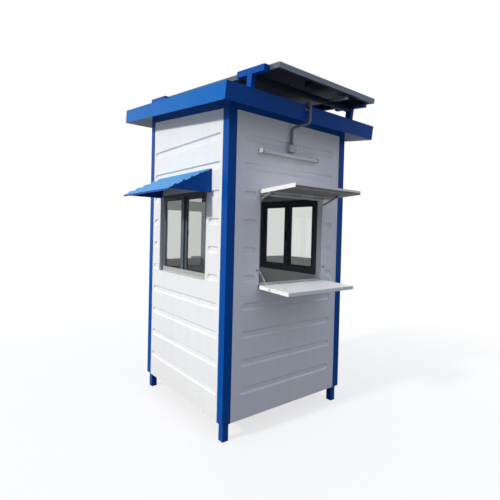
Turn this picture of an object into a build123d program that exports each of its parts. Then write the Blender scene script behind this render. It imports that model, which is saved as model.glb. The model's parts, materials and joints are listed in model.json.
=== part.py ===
# Security guard booth: a small steel cabin on four feet, with a flap and a counter on its
# serving hatch, two sliding windows, an awning, a door and a solar panel on its roof.
# Millimetres, +Z up. The origin is the middle of the front left foot's underside, +X runs along
# the hatch wall to the right and +Y runs from the hatch wall to the door wall.
from build123d import *
import os
from math import cos, radians, sin, tan

os.makedirs("parts", exist_ok=True)

# Cabin shell
cabin_width = 1210
cabin_depth = 1210
wall_thickness = 50
front_wall_height = 2131
top_rail_height = 70
post_size = 50
trim_leg = 66
trim_thickness = 2
foot_size = 50
foot_height = 125
foot_inset = 15
foot_corner = 3

# Pressed grooves of the wall panels
groove_pitch = 196
groove_height = 52
groove_depth = 12
groove_taper = 38
groove_count = 10
groove_first_height = 198
groove_margin_front = 138
groove_margin_side = 90
groove_gap = 30

# Floor
bearer_width = 50
bearer_height = 50
joist_width = 40
joist_count = 3
floor_board_thickness = 18

# Serving hatch
hatch_start = 285
hatch_width = 670
hatch_sill_height = 934
hatch_opening_height = 648
lining_thickness = 4
lining_proud = 1
hinge_stand_off = 12
knuckle_radius = 5
knuckle_gap = 0.6
knuckle_count = 5
pin_radius = 2.5
pin_clearance = 0.06
leaf_thickness = 2
hinge_leaf_height = 26
flap_axis_above_head = 8
flap_length = 341
flap_rise = 3.5
flap_overlap = 8
flap_sheet = 3
flap_sheet_height = 18
flap_lip_depth = 25
flap_front_lip = 12
shelf_axis_below_sill = 7
shelf_length = 302
shelf_droop = 2.4
shelf_overlap = 5
shelf_thickness = 25
shelf_top_above_axis = 5
shelf_back_gap = 7

# Props of the flap and tie rods of the shelf
stay_width = 14
stay_thickness = 4
stay_pivot_reach = 128
stay_pivot_height = 3
stay_foot_drop = 48
stud_radius = 4
knob_radius = 8
knob_length = 9
tie_rod_radius = 1.7
tie_eye_radius = 7
tie_pivot_reach = 117
tie_pivot_height = -6
tie_head_rise = 112
side_gap = 0.5
tie_bracket_gap = 5
bracket_thickness = 4

# Sliding windows in the two side walls
left_window_start = 258
right_window_start = 242
window_width = 747
window_sill_height = 952
window_height = 652
frame_face = 22
frame_setback = 20
frame_inside = 5
frame_flange = 16
sash_face = 44
sash_rail = 24
sash_overlap = 14
sash_thickness = 13
sash_gap = 1
sash_first_depth = 22
glass_thickness = 5
latch_height = 100
latch_width = 16
latch_depth = 18

# Awning over the left window
awning_start = 196
awning_width = 790
awning_top_height = 1752
awning_reach = 338
awning_drop = 166
awning_sheet = 3
awning_lip = 14
cheek_height = 172

# Door in the back wall
door_width = 604
door_height = 1950
door_frame_face = 35
door_leaf_thickness = 40
door_leaf_gap = 4
door_stile = 70
door_mullion = 59
door_glass_sill = 960
door_glass_height = 740
door_bar_above_sill = 540
door_bar_height = 87
door_hinge_length = 90
door_hinge_width = 36
door_hinge_thickness = 4
door_hinge_heights = (250, 950, 1700)
door_handle_height = 1010
door_handle_inset = 35

# Roof
roof_slope = 6.8
roof_side_eaves = 152
roof_front_eaves = 166
roof_back_eaves = 256
roof_panel_thickness = 30
fascia_height = 113
fascia_drop = 3
fascia_thickness = 3

# Solar panel and its stands, measured in the roof's own plane
panel_side_gap = 2
stand_front = 92
stand_back_from_end = 184
stand_post_width = 38
stand_post_depth = 50
stand_bar_width = 38
stand_bar_height = 43
stand_bar_length = 285
stand_bar_bottom = 209
rail_size = 36
duct_across = 845
duct_near = -271
duct_width = 34
duct_height = 22
duct_below_panel = 14
panel_width = 990
panel_length = 1650
panel_height = 35
panel_front_reach = 330
panel_bottom = 219
panel_frame_face = 11
panel_frame_lip = 28
laminate_thickness = 6
junction_width = 130
junction_length = 90
junction_height = 22
junction_from_edge = 60
junction_across = 550

# Conduit, wall box and lamp on the hatch wall
conduit_across = 566
conduit_radius = 10
conduit_stand_off = 16
conduit_bend = 24
wall_box_width = 65
wall_box_height = 49
wall_box_depth = 34
wall_box_bottom = 1912
lamp_start = 255
lamp_length = 590
lamp_bottom = 1850
lamp_base_depth = 24
lamp_base_height = 34
lamp_tube_radius = 13

# Places worked out from the sizes
left = -(foot_inset + foot_size / 2)
front = left
right = left + cabin_width
back = front + cabin_depth
ground = 0
wall_bottom = ground + foot_height
front_top = wall_bottom + front_wall_height
slope = tan(radians(roof_slope))
back_top = front_top + cabin_depth * slope
post_top_rise = 2 * top_rail_height

# Wall faces: x runs along the wall, y runs up, z points outwards
front_face = Plane(origin=(left, front, 0), x_dir=(1, 0, 0), z_dir=(0, -1, 0))
left_face = Plane(origin=(left, back, 0), x_dir=(0, -1, 0), z_dir=(-1, 0, 0))
right_face = Plane(origin=(right, front, 0), x_dir=(0, 1, 0), z_dir=(1, 0, 0))
back_face = Plane(origin=(right, back, 0), x_dir=(-1, 0, 0), z_dir=(0, 1, 0))
roof_face = Plane(
    origin=(left, front, front_top),
    x_dir=(1, 0, 0),
    z_dir=(0, -sin(radians(roof_slope)), cos(radians(roof_slope))),
)
post_top_face = roof_face.offset(top_rail_height)


def deep(face, depth):
    """A plane parallel to a wall face, the given depth inside it."""
    return face.offset(-depth)


def groove_rows():
    """Heights of the groove centres, from the lowest up."""
    return [wall_bottom + groove_first_height + row * groove_pitch for row in range(groove_count)]


def groove_spans(length, margin, hole, height):
    """Start and end of each groove at one height, interrupted by the wall's opening."""
    start = margin
    end = length - margin
    hole_start, hole_width, hole_bottom, hole_height = hole
    low = hole_bottom - groove_height / 2
    high = hole_bottom + hole_height + groove_height / 2
    if not low < height < high:
        return [(start, end)]
    spans = [(start, hole_start - groove_gap), (hole_start + hole_width + groove_gap, end)]
    return [(first, last) for first, last in spans if last - first > groove_height]


def wall_panel(face, length, margin, hole):
    """A pressed wall panel between two corner posts, with its grooves and its opening."""
    hole_start, hole_width, hole_bottom, hole_height = hole
    with BuildPart() as panel:
        with BuildSketch(face):
            with Locations((post_size, wall_bottom)):
                Rectangle(length - 2 * post_size, back_top - wall_bottom, align=(Align.MIN, Align.MIN))
        extrude(amount=-wall_thickness)
        split(bisect_by=roof_face, keep=Keep.BOTTOM)
        with BuildSketch(face):
            with Locations((hole_start, hole_bottom)):
                Rectangle(hole_width, hole_height, align=(Align.MIN, Align.MIN))
        extrude(amount=-wall_thickness, mode=Mode.SUBTRACT)
        with BuildSketch(face):
            for height in groove_rows():
                for span_start, span_end in groove_spans(length, margin, hole, height):
                    with Locations(((span_start + span_end) / 2, height)):
                        SlotOverall(span_end - span_start, groove_height)
        extrude(amount=-groove_depth, taper=groove_taper, mode=Mode.SUBTRACT)
    return panel.part


# Walls, each split below, beside and over its opening
hatch_bottom = wall_bottom + hatch_sill_height
hatch_top = hatch_bottom + hatch_opening_height
window_bottom = wall_bottom + window_sill_height
window_top = window_bottom + window_height
door_top = wall_bottom + door_height
window_from_back = cabin_depth - left_window_start - window_width
door_from_right = cabin_width - post_size - door_width
hatch_hole = (hatch_start, hatch_width, hatch_bottom, hatch_opening_height)
left_hole = (window_from_back, window_width, window_bottom, window_height)
right_hole = (right_window_start, window_width, window_bottom, window_height)
door_hole = (door_from_right, door_width, wall_bottom, door_height)
front_wall = wall_panel(front_face, cabin_width, groove_margin_front, hatch_hole)
left_wall = wall_panel(left_face, cabin_depth, groove_margin_side, left_hole)
right_wall = wall_panel(right_face, cabin_depth, groove_margin_side, right_hole)
back_wall = wall_panel(back_face, cabin_width, groove_margin_front, door_hole)

with BuildPart() as front_wall_lower:
    add(front_wall)
    split(bisect_by=Plane.XY.offset(hatch_bottom), keep=Keep.BOTTOM)
front_wall_lower.part.label = "front_wall_lower"
export_step(front_wall_lower.part, "parts/front_wall_lower.step")

with BuildPart() as front_wall_piers:
    add(front_wall)
    split(bisect_by=Plane.XY.offset(hatch_bottom), keep=Keep.TOP)
    split(bisect_by=Plane.XY.offset(hatch_top), keep=Keep.BOTTOM)
front_wall_piers.part.label = "front_wall_piers"
export_step(front_wall_piers.part, "parts/front_wall_piers.step")

with BuildPart() as front_wall_upper:
    add(front_wall)
    split(bisect_by=Plane.XY.offset(hatch_top), keep=Keep.TOP)
front_wall_upper.part.label = "front_wall_upper"
export_step(front_wall_upper.part, "parts/front_wall_upper.step")

with BuildPart() as left_wall_lower:
    add(left_wall)
    split(bisect_by=Plane.XY.offset(window_bottom), keep=Keep.BOTTOM)
left_wall_lower.part.label = "left_wall_lower"
export_step(left_wall_lower.part, "parts/left_wall_lower.step")

with BuildPart() as left_wall_piers:
    add(left_wall)
    split(bisect_by=Plane.XY.offset(window_bottom), keep=Keep.TOP)
    split(bisect_by=Plane.XY.offset(window_top), keep=Keep.BOTTOM)
left_wall_piers.part.label = "left_wall_piers"
export_step(left_wall_piers.part, "parts/left_wall_piers.step")

with BuildPart() as left_wall_upper:
    add(left_wall)
    split(bisect_by=Plane.XY.offset(window_top), keep=Keep.TOP)
left_wall_upper.part.label = "left_wall_upper"
export_step(left_wall_upper.part, "parts/left_wall_upper.step")

with BuildPart() as right_wall_lower:
    add(right_wall)
    split(bisect_by=Plane.XY.offset(window_bottom), keep=Keep.BOTTOM)
right_wall_lower.part.label = "right_wall_lower"
export_step(right_wall_lower.part, "parts/right_wall_lower.step")

with BuildPart() as right_wall_piers:
    add(right_wall)
    split(bisect_by=Plane.XY.offset(window_bottom), keep=Keep.TOP)
    split(bisect_by=Plane.XY.offset(window_top), keep=Keep.BOTTOM)
right_wall_piers.part.label = "right_wall_piers"
export_step(right_wall_piers.part, "parts/right_wall_piers.step")

with BuildPart() as right_wall_upper:
    add(right_wall)
    split(bisect_by=Plane.XY.offset(window_top), keep=Keep.TOP)
right_wall_upper.part.label = "right_wall_upper"
export_step(right_wall_upper.part, "parts/right_wall_upper.step")

with BuildPart() as back_wall_pier:
    add(back_wall)
    split(bisect_by=Plane.XY.offset(door_top), keep=Keep.BOTTOM)
back_wall_pier.part.label = "back_wall_pier"
export_step(back_wall_pier.part, "parts/back_wall_pier.step")

with BuildPart() as back_wall_upper:
    add(back_wall)
    split(bisect_by=Plane.XY.offset(door_top), keep=Keep.TOP)
back_wall_upper.part.label = "back_wall_upper"
export_step(back_wall_upper.part, "parts/back_wall_upper.step")

# Top rails: a tube along the top of each wall, between the posts and parallel to the roof
with BuildPart() as top_rails:
    for face, length in (
        (front_face, cabin_width),
        (left_face, cabin_depth),
        (right_face, cabin_depth),
        (back_face, cabin_width),
    ):
        with BuildSketch(face):
            with Locations((post_size, wall_bottom)):
                Rectangle(
                    length - 2 * post_size,
                    back_top + post_top_rise - wall_bottom,
                    align=(Align.MIN, Align.MIN),
                )
        extrude(amount=-wall_thickness)
    split(bisect_by=post_top_face, keep=Keep.BOTTOM)
    split(bisect_by=roof_face, keep=Keep.TOP)
top_rails.part.label = "top_rails"
export_step(top_rails.part, "parts/top_rails.step")

# Corner posts, cut to the roof's slope, each on a short square foot
corner_x = (left, right - post_size)
corner_y = (front, back - post_size)
foot_x = (left + foot_inset, right - foot_inset - foot_size)
foot_y = (front + foot_inset, back - foot_inset - foot_size)
with BuildPart() as corner_posts:
    with BuildSketch(Plane.XY.offset(wall_bottom)):
        for x in corner_x:
            for y in corner_y:
                with Locations((x, y)):
                    Rectangle(post_size, post_size, align=(Align.MIN, Align.MIN))
    extrude(amount=back_top + post_top_rise - wall_bottom)
    split(bisect_by=post_top_face, keep=Keep.BOTTOM)
    with BuildSketch(Plane.XY.offset(ground)):
        for x in foot_x:
            for y in foot_y:
                with Locations((x + foot_size / 2, y + foot_size / 2)):
                    RectangleRounded(foot_size, foot_size, foot_corner)
    extrude(amount=foot_height)
corner_posts.part.label = "corner_posts"
export_step(corner_posts.part, "parts/corner_posts.step")

# Corner trims: folded angles over the joints between the posts and the panels
with BuildPart() as corner_trims:
    with BuildSketch(Plane.XY.offset(wall_bottom)):
        for x, inward_x in ((left, 1), (right, -1)):
            for y, inward_y in ((front, 1), (back, -1)):
                outer_x = x - inward_x * trim_thickness
                outer_y = y - inward_y * trim_thickness
                with BuildLine():
                    Polyline(
                        (outer_x, outer_y),
                        (x + inward_x * trim_leg, outer_y),
                        (x + inward_x * trim_leg, y),
                        (x, y),
                        (x, y + inward_y * trim_leg),
                        (outer_x, y + inward_y * trim_leg),
                        close=True,
                    )
                make_face()
    extrude(amount=back_top + post_top_rise - wall_bottom)
    split(bisect_by=post_top_face, keep=Keep.BOTTOM)
corner_trims.part.label = "corner_trims"
export_step(corner_trims.part, "parts/corner_trims.step")

# Floor: a welded frame of bearers and joists with a board on top
inner_left = left + wall_thickness
inner_right = right - wall_thickness
inner_front = front + wall_thickness
inner_back = back - wall_thickness
inner_width = inner_right - inner_left
inner_depth = inner_back - inner_front
joist_spacing = (inner_width - joist_width) / (joist_count - 1)
with BuildPart() as floor_frame:
    with BuildSketch(Plane.XY.offset(wall_bottom)):
        with Locations((inner_left, inner_front)):
            Rectangle(inner_width, bearer_width, align=(Align.MIN, Align.MIN))
        with Locations((inner_left, inner_back)):
            Rectangle(inner_width, bearer_width, align=(Align.MIN, Align.MAX))
        for number in range(joist_count):
            with Locations((inner_left + number * joist_spacing, inner_front)):
                Rectangle(joist_width, inner_depth, align=(Align.MIN, Align.MIN))
    extrude(amount=bearer_height)
floor_frame.part.label = "floor_frame"
export_step(floor_frame.part, "parts/floor_frame.step")

floor_bottom = wall_bottom + bearer_height
with BuildPart() as floor_board:
    with BuildSketch(Plane.XY.offset(floor_bottom)):
        with Locations((inner_left, inner_front)):
            Rectangle(inner_width, inner_depth, align=(Align.MIN, Align.MIN))
    extrude(amount=floor_board_thickness)
floor_board.part.label = "floor_board"
export_step(floor_board.part, "parts/floor_board.step")

# Linings of the serving hatch, on its two jambs and on its head and sill
hatch_left = left + hatch_start
hatch_right = hatch_left + hatch_width
lining_depth = wall_thickness + 2 * lining_proud
with BuildPart() as hatch_jambs:
    with BuildSketch(front_face.offset(lining_proud)):
        for across in (hatch_start, hatch_start + hatch_width - lining_thickness):
            with Locations((across, hatch_bottom + lining_thickness)):
                Rectangle(
                    lining_thickness,
                    hatch_opening_height - 2 * lining_thickness,
                    align=(Align.MIN, Align.MIN),
                )
    extrude(amount=-lining_depth)
hatch_jambs.part.label = "hatch_jambs"
export_step(hatch_jambs.part, "parts/hatch_jambs.step")

with BuildPart() as hatch_head_and_sill:
    with BuildSketch(front_face.offset(lining_proud)):
        for height in (hatch_bottom, hatch_top - lining_thickness):
            with Locations((hatch_start, height)):
                Rectangle(hatch_width, lining_thickness, align=(Align.MIN, Align.MIN))
    extrude(amount=-lining_depth)
hatch_head_and_sill.part.label = "hatch_head_and_sill"
export_step(hatch_head_and_sill.part, "parts/hatch_head_and_sill.step")

# Hinges of the hatch: a leaf on the wall, knuckles shared out along the pin
flap_axis_y = front - hinge_stand_off
flap_axis_z = hatch_top + flap_axis_above_head
shelf_axis_y = front - hinge_stand_off
shelf_axis_z = hatch_bottom - shelf_axis_below_sill
knuckle_pitch = hatch_width / knuckle_count


def knuckle_span(number):
    """Start and length of one knuckle along the hinge pin."""
    return hatch_left + number * knuckle_pitch + knuckle_gap / 2, knuckle_pitch - knuckle_gap


def wall_hinge(axis_y, axis_z, upwards):
    """The fixed half of a hinge: a leaf on the wall, the odd knuckles and the pin."""
    leaf_align = Align.MIN if upwards > 0 else Align.MAX
    with BuildPart() as hinge:
        for number in range(0, knuckle_count, 2):
            start, length = knuckle_span(number)
            with BuildSketch(Plane.YZ.offset(start)):
                with Locations((axis_y, axis_z)):
                    Circle(knuckle_radius)
                with Locations((axis_y, axis_z - upwards * knuckle_radius)):
                    Rectangle(hinge_stand_off, leaf_thickness, align=(Align.MIN, Align.CENTER))
            extrude(amount=length)
        with BuildSketch(Plane.YZ.offset(hatch_left)):
            with Locations((axis_y, axis_z)):
                Circle(pin_radius)
        extrude(amount=hatch_width)
        with BuildSketch(Plane.YZ.offset(hatch_left)):
            with Locations((front, axis_z - upwards * knuckle_radius)):
                Rectangle(leaf_thickness, hinge_leaf_height, align=(Align.MAX, leaf_align))
        extrude(amount=hatch_width)
    return hinge.part


flap_hinge = wall_hinge(flap_axis_y, flap_axis_z, 1)
shelf_hinge = wall_hinge(shelf_axis_y, shelf_axis_z, -1)
with BuildPart() as hatch_hinges:
    add(flap_hinge)
    add(shelf_hinge)
hatch_hinges.part.label = "hatch_hinges"
export_step(hatch_hinges.part, "parts/hatch_hinges.step")

# Flap: a shallow tray propped out over the hatch. In its plane -y runs outwards and z is its normal
flap_plane = Plane(
    origin=(0, flap_axis_y, flap_axis_z),
    x_dir=(1, 0, 0),
    z_dir=(0, sin(radians(flap_rise)), cos(radians(flap_rise))),
)
flap_side_section = Plane(origin=flap_plane.origin, x_dir=-flap_plane.y_dir, z_dir=(-1, 0, 0))
flap_left = hatch_left - flap_overlap
flap_right = hatch_right + flap_overlap
flap_width = flap_right - flap_left
flap_inner_left = flap_left + flap_sheet
flap_inner_right = flap_right - flap_sheet
lip_bottom = flap_sheet_height - flap_lip_depth
with BuildPart() as hatch_flap:
    with BuildSketch(flap_plane.offset(flap_sheet_height)):
        with Locations((flap_left, flap_sheet / 2)):
            Rectangle(flap_width, flap_length + flap_sheet / 2, align=(Align.MIN, Align.MAX))
    extrude(amount=flap_sheet)
    with BuildSketch(flap_plane.offset(lip_bottom)):
        for lip_start in (flap_left, flap_inner_right):
            with Locations((lip_start, 0)):
                Rectangle(flap_sheet, flap_length, align=(Align.MIN, Align.MAX))
    extrude(amount=flap_lip_depth)
    with BuildSketch(flap_plane.offset(flap_sheet_height - flap_front_lip)):
        with Locations((flap_left, -flap_length)):
            Rectangle(flap_width, flap_sheet, align=(Align.MIN, Align.MIN))
    extrude(amount=flap_front_lip)
    with BuildSketch(flap_plane.offset(knuckle_radius + knuckle_gap)):
        with Locations((hatch_left, 0)):
            Rectangle(hatch_width, flap_sheet, align=(Align.MIN, Align.CENTER))
    extrude(amount=flap_sheet_height - knuckle_radius - knuckle_gap)
    for number in range(1, knuckle_count, 2):
        start, length = knuckle_span(number)
        knuckle_plane = Plane(
            origin=(start, flap_axis_y, flap_axis_z),
            x_dir=flap_plane.y_dir,
            z_dir=(1, 0, 0),
        )
        with BuildSketch(knuckle_plane):
            Circle(knuckle_radius)
            Rectangle(flap_sheet, flap_sheet_height, align=(Align.CENTER, Align.MIN))
        extrude(amount=length)
        with BuildSketch(knuckle_plane):
            Circle(pin_radius + pin_clearance)
        extrude(amount=length, mode=Mode.SUBTRACT)
    for side_plane, outwards in ((flap_inner_left, 1), (flap_inner_right, -1)):
        pivot = flap_plane.from_local_coords(Vector(side_plane, -stay_pivot_reach, stay_pivot_height))
        stud_length = side_gap + stay_thickness + side_gap
        with BuildSketch(Plane(origin=pivot, x_dir=(0, 1, 0), z_dir=(outwards, 0, 0))):
            Circle(stud_radius)
        extrude(amount=stud_length)
hatch_flap.part.label = "hatch_flap"
export_step(hatch_flap.part, "parts/hatch_flap.step")

# Dark clamp knobs on the ends of the flap's two studs
with BuildPart() as stay_knobs:
    for side_plane, outwards in ((flap_inner_left, 1), (flap_inner_right, -1)):
        pivot = flap_plane.from_local_coords(Vector(side_plane, -stay_pivot_reach, stay_pivot_height))
        knob_start = side_gap + stay_thickness + side_gap
        with BuildSketch(Plane(origin=pivot, x_dir=(0, 1, 0), z_dir=(outwards, 0, 0)).offset(knob_start)):
            Circle(knob_radius)
        extrude(amount=knob_length)
stay_knobs.part.label = "stay_knobs"
export_step(stay_knobs.part, "parts/stay_knobs.step")

# Props: flat bars from the studs of the flap down to brackets on the hatch jambs
stay_pivot = flap_plane.from_local_coords(Vector(0, -stay_pivot_reach, stay_pivot_height))
stay_foot = Vector(0, flap_axis_y, flap_axis_z - stay_foot_drop)
stay_run = stay_foot - stay_pivot


def flat_bar(start_x, towards, begin, run, hole_radius):
    """A round ended flat bar in a plane of constant x, with a hole at its beginning."""
    bar_plane = Plane(
        origin=(start_x, begin.Y, begin.Z),
        x_dir=(0, run.Y, run.Z),
        z_dir=(1, 0, 0),
    )
    with BuildPart() as bar:
        with BuildSketch(bar_plane):
            with Locations((run.length / 2, 0)):
                SlotCenterToCenter(run.length, stay_width)
            Circle(hole_radius, mode=Mode.SUBTRACT)
        extrude(amount=towards * stay_thickness)
    return bar.part


stay_left_x = flap_inner_left + side_gap
stay_right_x = flap_inner_right - side_gap
flap_stay_left = flat_bar(stay_left_x, 1, stay_pivot, stay_run, stud_radius + pin_clearance)
flap_stay_left.label = "flap_stay_left"
export_step(flap_stay_left, "parts/flap_stay_left.step")
flap_stay_right = flat_bar(stay_right_x, -1, stay_pivot, stay_run, stud_radius + pin_clearance)
flap_stay_right.label = "flap_stay_right"
export_step(flap_stay_right, "parts/flap_stay_right.step")

# Counter shelf: a board that hangs level from two tie rods. In its plane -y runs outwards
shelf_plane = Plane(
    origin=(0, shelf_axis_y, shelf_axis_z),
    x_dir=(1, 0, 0),
    z_dir=(0, -sin(radians(shelf_droop)), cos(radians(shelf_droop))),
)
shelf_left = hatch_left - shelf_overlap
shelf_right = hatch_right + shelf_overlap
shelf_width = shelf_right - shelf_left
shelf_bottom = shelf_top_above_axis - shelf_thickness
with BuildPart() as counter_shelf:
    with BuildSketch(shelf_plane.offset(shelf_bottom)):
        with Locations((shelf_left, -shelf_back_gap)):
            Rectangle(shelf_width, shelf_length - shelf_back_gap, align=(Align.MIN, Align.MAX))
    extrude(amount=shelf_thickness)
    for number in range(1, knuckle_count, 2):
        start, length = knuckle_span(number)
        knuckle_plane = Plane(
            origin=(start, shelf_axis_y, shelf_axis_z),
            x_dir=shelf_plane.y_dir,
            z_dir=(1, 0, 0),
        )
        with BuildSketch(knuckle_plane):
            Circle(knuckle_radius)
            Rectangle(shelf_back_gap + 1, knuckle_radius, align=(Align.MAX, Align.CENTER))
        extrude(amount=length)
        with BuildSketch(knuckle_plane):
            Circle(pin_radius + pin_clearance)
        extrude(amount=length, mode=Mode.SUBTRACT)
    for side_plane, outwards in ((shelf_left, -1), (shelf_right, 1)):
        pivot = shelf_plane.from_local_coords(Vector(side_plane, -tie_pivot_reach, tie_pivot_height))
        with BuildSketch(Plane(origin=pivot, x_dir=(0, 1, 0), z_dir=(outwards, 0, 0))):
            Circle(stud_radius)
        extrude(amount=side_gap + stay_thickness + side_gap)
counter_shelf.part.label = "counter_shelf"
export_step(counter_shelf.part, "parts/counter_shelf.step")

# Tie rods of the shelf: thin round rods with an eye at each end
tie_pivot = shelf_plane.from_local_coords(Vector(0, -tie_pivot_reach, tie_pivot_height))
tie_head = Vector(0, shelf_axis_y, shelf_axis_z + tie_head_rise)
tie_run = tie_head - tie_pivot


def tie_rod(start_x, towards):
    """A rod in a plane of constant x with two flat eyes, the lower one on the shelf's stud."""
    eye_plane = Plane(
        origin=(start_x, tie_pivot.Y, tie_pivot.Z),
        x_dir=(0, tie_run.Y, tie_run.Z),
        z_dir=(1, 0, 0),
    )
    rod_plane = Plane(
        origin=(start_x + towards * stay_thickness / 2, tie_pivot.Y, tie_pivot.Z),
        x_dir=(1, 0, 0),
        z_dir=(0, tie_run.Y, tie_run.Z),
    )
    with BuildPart() as rod:
        with BuildSketch(rod_plane.offset(tie_eye_radius - 1)):
            Circle(tie_rod_radius)
        extrude(amount=tie_run.length - 2 * tie_eye_radius + 2)
        with BuildSketch(eye_plane):
            Circle(tie_eye_radius)
            with Locations((tie_run.length, 0)):
                Circle(tie_eye_radius)
            Circle(stud_radius + pin_clearance, mode=Mode.SUBTRACT)
        extrude(amount=towards * stay_thickness)
    return rod.part


tie_left_x = shelf_left - side_gap
tie_right_x = shelf_right + side_gap
shelf_tie_left = tie_rod(tie_left_x, -1)
shelf_tie_left.label = "shelf_tie_left"
export_step(shelf_tie_left, "parts/shelf_tie_left.step")
shelf_tie_right = tie_rod(tie_right_x, 1)
shelf_tie_right.label = "shelf_tie_right"
export_step(shelf_tie_right, "parts/shelf_tie_right.step")

# Brackets on the hatch wall beside the feet of the props and the heads of the tie rods
bracket_reach = hinge_stand_off + stay_width / 2
stay_bracket_left = stay_left_x + stay_thickness + side_gap
stay_bracket_right = stay_right_x - stay_thickness - side_gap - bracket_thickness
tie_bracket_left = tie_left_x - stay_thickness - tie_bracket_gap - bracket_thickness
tie_bracket_right = tie_right_x + stay_thickness + tie_bracket_gap
with BuildPart() as hatch_brackets:
    for bracket_x, height, stand in (
        (stay_bracket_left, stay_foot.Z, lining_proud),
        (stay_bracket_right, stay_foot.Z, lining_proud),
        (tie_bracket_left, tie_head.Z, 0),
        (tie_bracket_right, tie_head.Z, 0),
    ):
        with BuildSketch(Plane.YZ.offset(bracket_x)):
            with Locations((front - stand, height)):
                Rectangle(bracket_reach - stand, stay_width, align=(Align.MAX, Align.CENTER))
        extrude(amount=bracket_thickness)
hatch_brackets.part.label = "hatch_brackets"
export_step(hatch_brackets.part, "parts/hatch_brackets.step")


# Sliding windows
window_clear_width = window_width - 2 * frame_face
window_clear_height = window_height - 2 * frame_face
sash_width = (window_clear_width + sash_overlap) / 2
sash_height = window_clear_height
sash_second_depth = sash_first_depth + sash_thickness + sash_gap
frame_depth = wall_thickness - frame_setback
glass_setback = (sash_thickness - glass_thickness) / 2
for side, face, start in (("left", left_face, window_from_back), ("right", right_face, right_window_start)):
    sash_bottom = window_bottom + frame_face
    first_start = start + frame_face
    second_start = start + window_width - frame_face - sash_width
    sashes = ((first_start, sash_first_depth), (second_start, sash_second_depth))
    with BuildPart() as window_frame:
        with BuildSketch(deep(face, frame_setback)):
            with Locations((start + window_width / 2, window_bottom + window_height / 2)):
                Rectangle(window_width, window_height)
                Rectangle(window_clear_width, window_clear_height, mode=Mode.SUBTRACT)
        extrude(amount=-frame_depth)
        with BuildSketch(deep(face, wall_thickness)):
            with Locations((start + window_width / 2, window_bottom + window_height / 2)):
                Rectangle(window_width + 2 * frame_flange, window_height + 2 * frame_flange)
                Rectangle(window_clear_width, window_clear_height, mode=Mode.SUBTRACT)
        extrude(amount=-frame_inside)
    window_frame.part.label = f"{side}_window_frame"
    export_step(window_frame.part, f"parts/{side}_window_frame.step")
    with BuildPart() as window_sashes:
        for sash_start, depth in sashes:
            with BuildSketch(deep(face, depth)):
                with Locations((sash_start + sash_width / 2, sash_bottom + sash_height / 2)):
                    Rectangle(sash_width, sash_height)
                    Rectangle(sash_width - 2 * sash_face, sash_height - 2 * sash_rail, mode=Mode.SUBTRACT)
            extrude(amount=-sash_thickness)
    window_sashes.part.label = f"{side}_window_sashes"
    export_step(window_sashes.part, f"parts/{side}_window_sashes.step")
    with BuildPart() as window_glass:
        for sash_start, depth in sashes:
            with BuildSketch(deep(face, depth + glass_setback)):
                with Locations((sash_start + sash_width / 2, sash_bottom + sash_height / 2)):
                    Rectangle(sash_width - 2 * sash_face, sash_height - 2 * sash_rail)
            extrude(amount=-glass_thickness)
    window_glass.part.label = f"{side}_window_glass"
    export_step(window_glass.part, f"parts/{side}_window_glass.step")

# Latches on the inner faces of the meeting stiles
latch_middle = window_bottom + window_height / 2
latch_across = window_width - frame_face - sash_width + sash_face / 2
with BuildPart() as window_latches:
    for face, start in ((left_face, window_from_back), (right_face, right_window_start)):
        with BuildSketch(deep(face, sash_second_depth + sash_thickness)):
            with Locations((start + latch_across, latch_middle)):
                RectangleRounded(latch_width, latch_height, 5)
        extrude(amount=-latch_depth)
window_latches.part.label = "window_latches"
export_step(window_latches.part, "parts/window_latches.step")

# Awning over the left window: a sloping sheet between two upright cheeks
awning_top = wall_bottom + awning_top_height
awning_near = front + awning_start
awning_edge = left - awning_reach
awning_edge_top = awning_top - awning_drop
awning_section = [
    (left, awning_top),
    (awning_edge, awning_edge_top),
    (awning_edge, awning_edge_top - awning_lip),
    (awning_edge + awning_sheet, awning_edge_top - awning_lip),
    (awning_edge + awning_sheet, awning_edge_top - awning_sheet),
    (left, awning_top - awning_sheet),
]
with BuildPart() as awning_roof:
    with BuildSketch(Plane.XZ.offset(-awning_near)):
        with BuildLine():
            Polyline(*awning_section, close=True)
        make_face()
    extrude(amount=-awning_width)
awning_roof.part.label = "awning_roof"
export_step(awning_roof.part, "parts/awning_roof.step")

with BuildPart() as awning_cheeks:
    for cheek_y in (awning_near, awning_near + awning_width - awning_sheet):
        with BuildSketch(Plane.XZ.offset(-cheek_y)):
            with BuildLine():
                Polyline(
                    (left, awning_top - awning_sheet),
                    (awning_edge + awning_sheet, awning_edge_top - awning_sheet),
                    (left, awning_top - cheek_height),
                    close=True,
                )
            make_face()
        extrude(amount=-awning_sheet)
awning_cheeks.part.label = "awning_cheeks"
export_step(awning_cheeks.part, "parts/awning_cheeks.step")

# Door in the back wall, closed in its frame
door_middle = door_from_right + door_width / 2
with BuildPart() as door_frame:
    with BuildSketch(back_face):
        with Locations((door_middle, wall_bottom + door_height / 2)):
            Rectangle(door_width, door_height)
            Rectangle(
                door_width - 2 * door_frame_face,
                door_height - 2 * door_frame_face,
                mode=Mode.SUBTRACT,
            )
    extrude(amount=-wall_thickness)
door_frame.part.label = "door_frame"
export_step(door_frame.part, "parts/door_frame.step")

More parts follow.
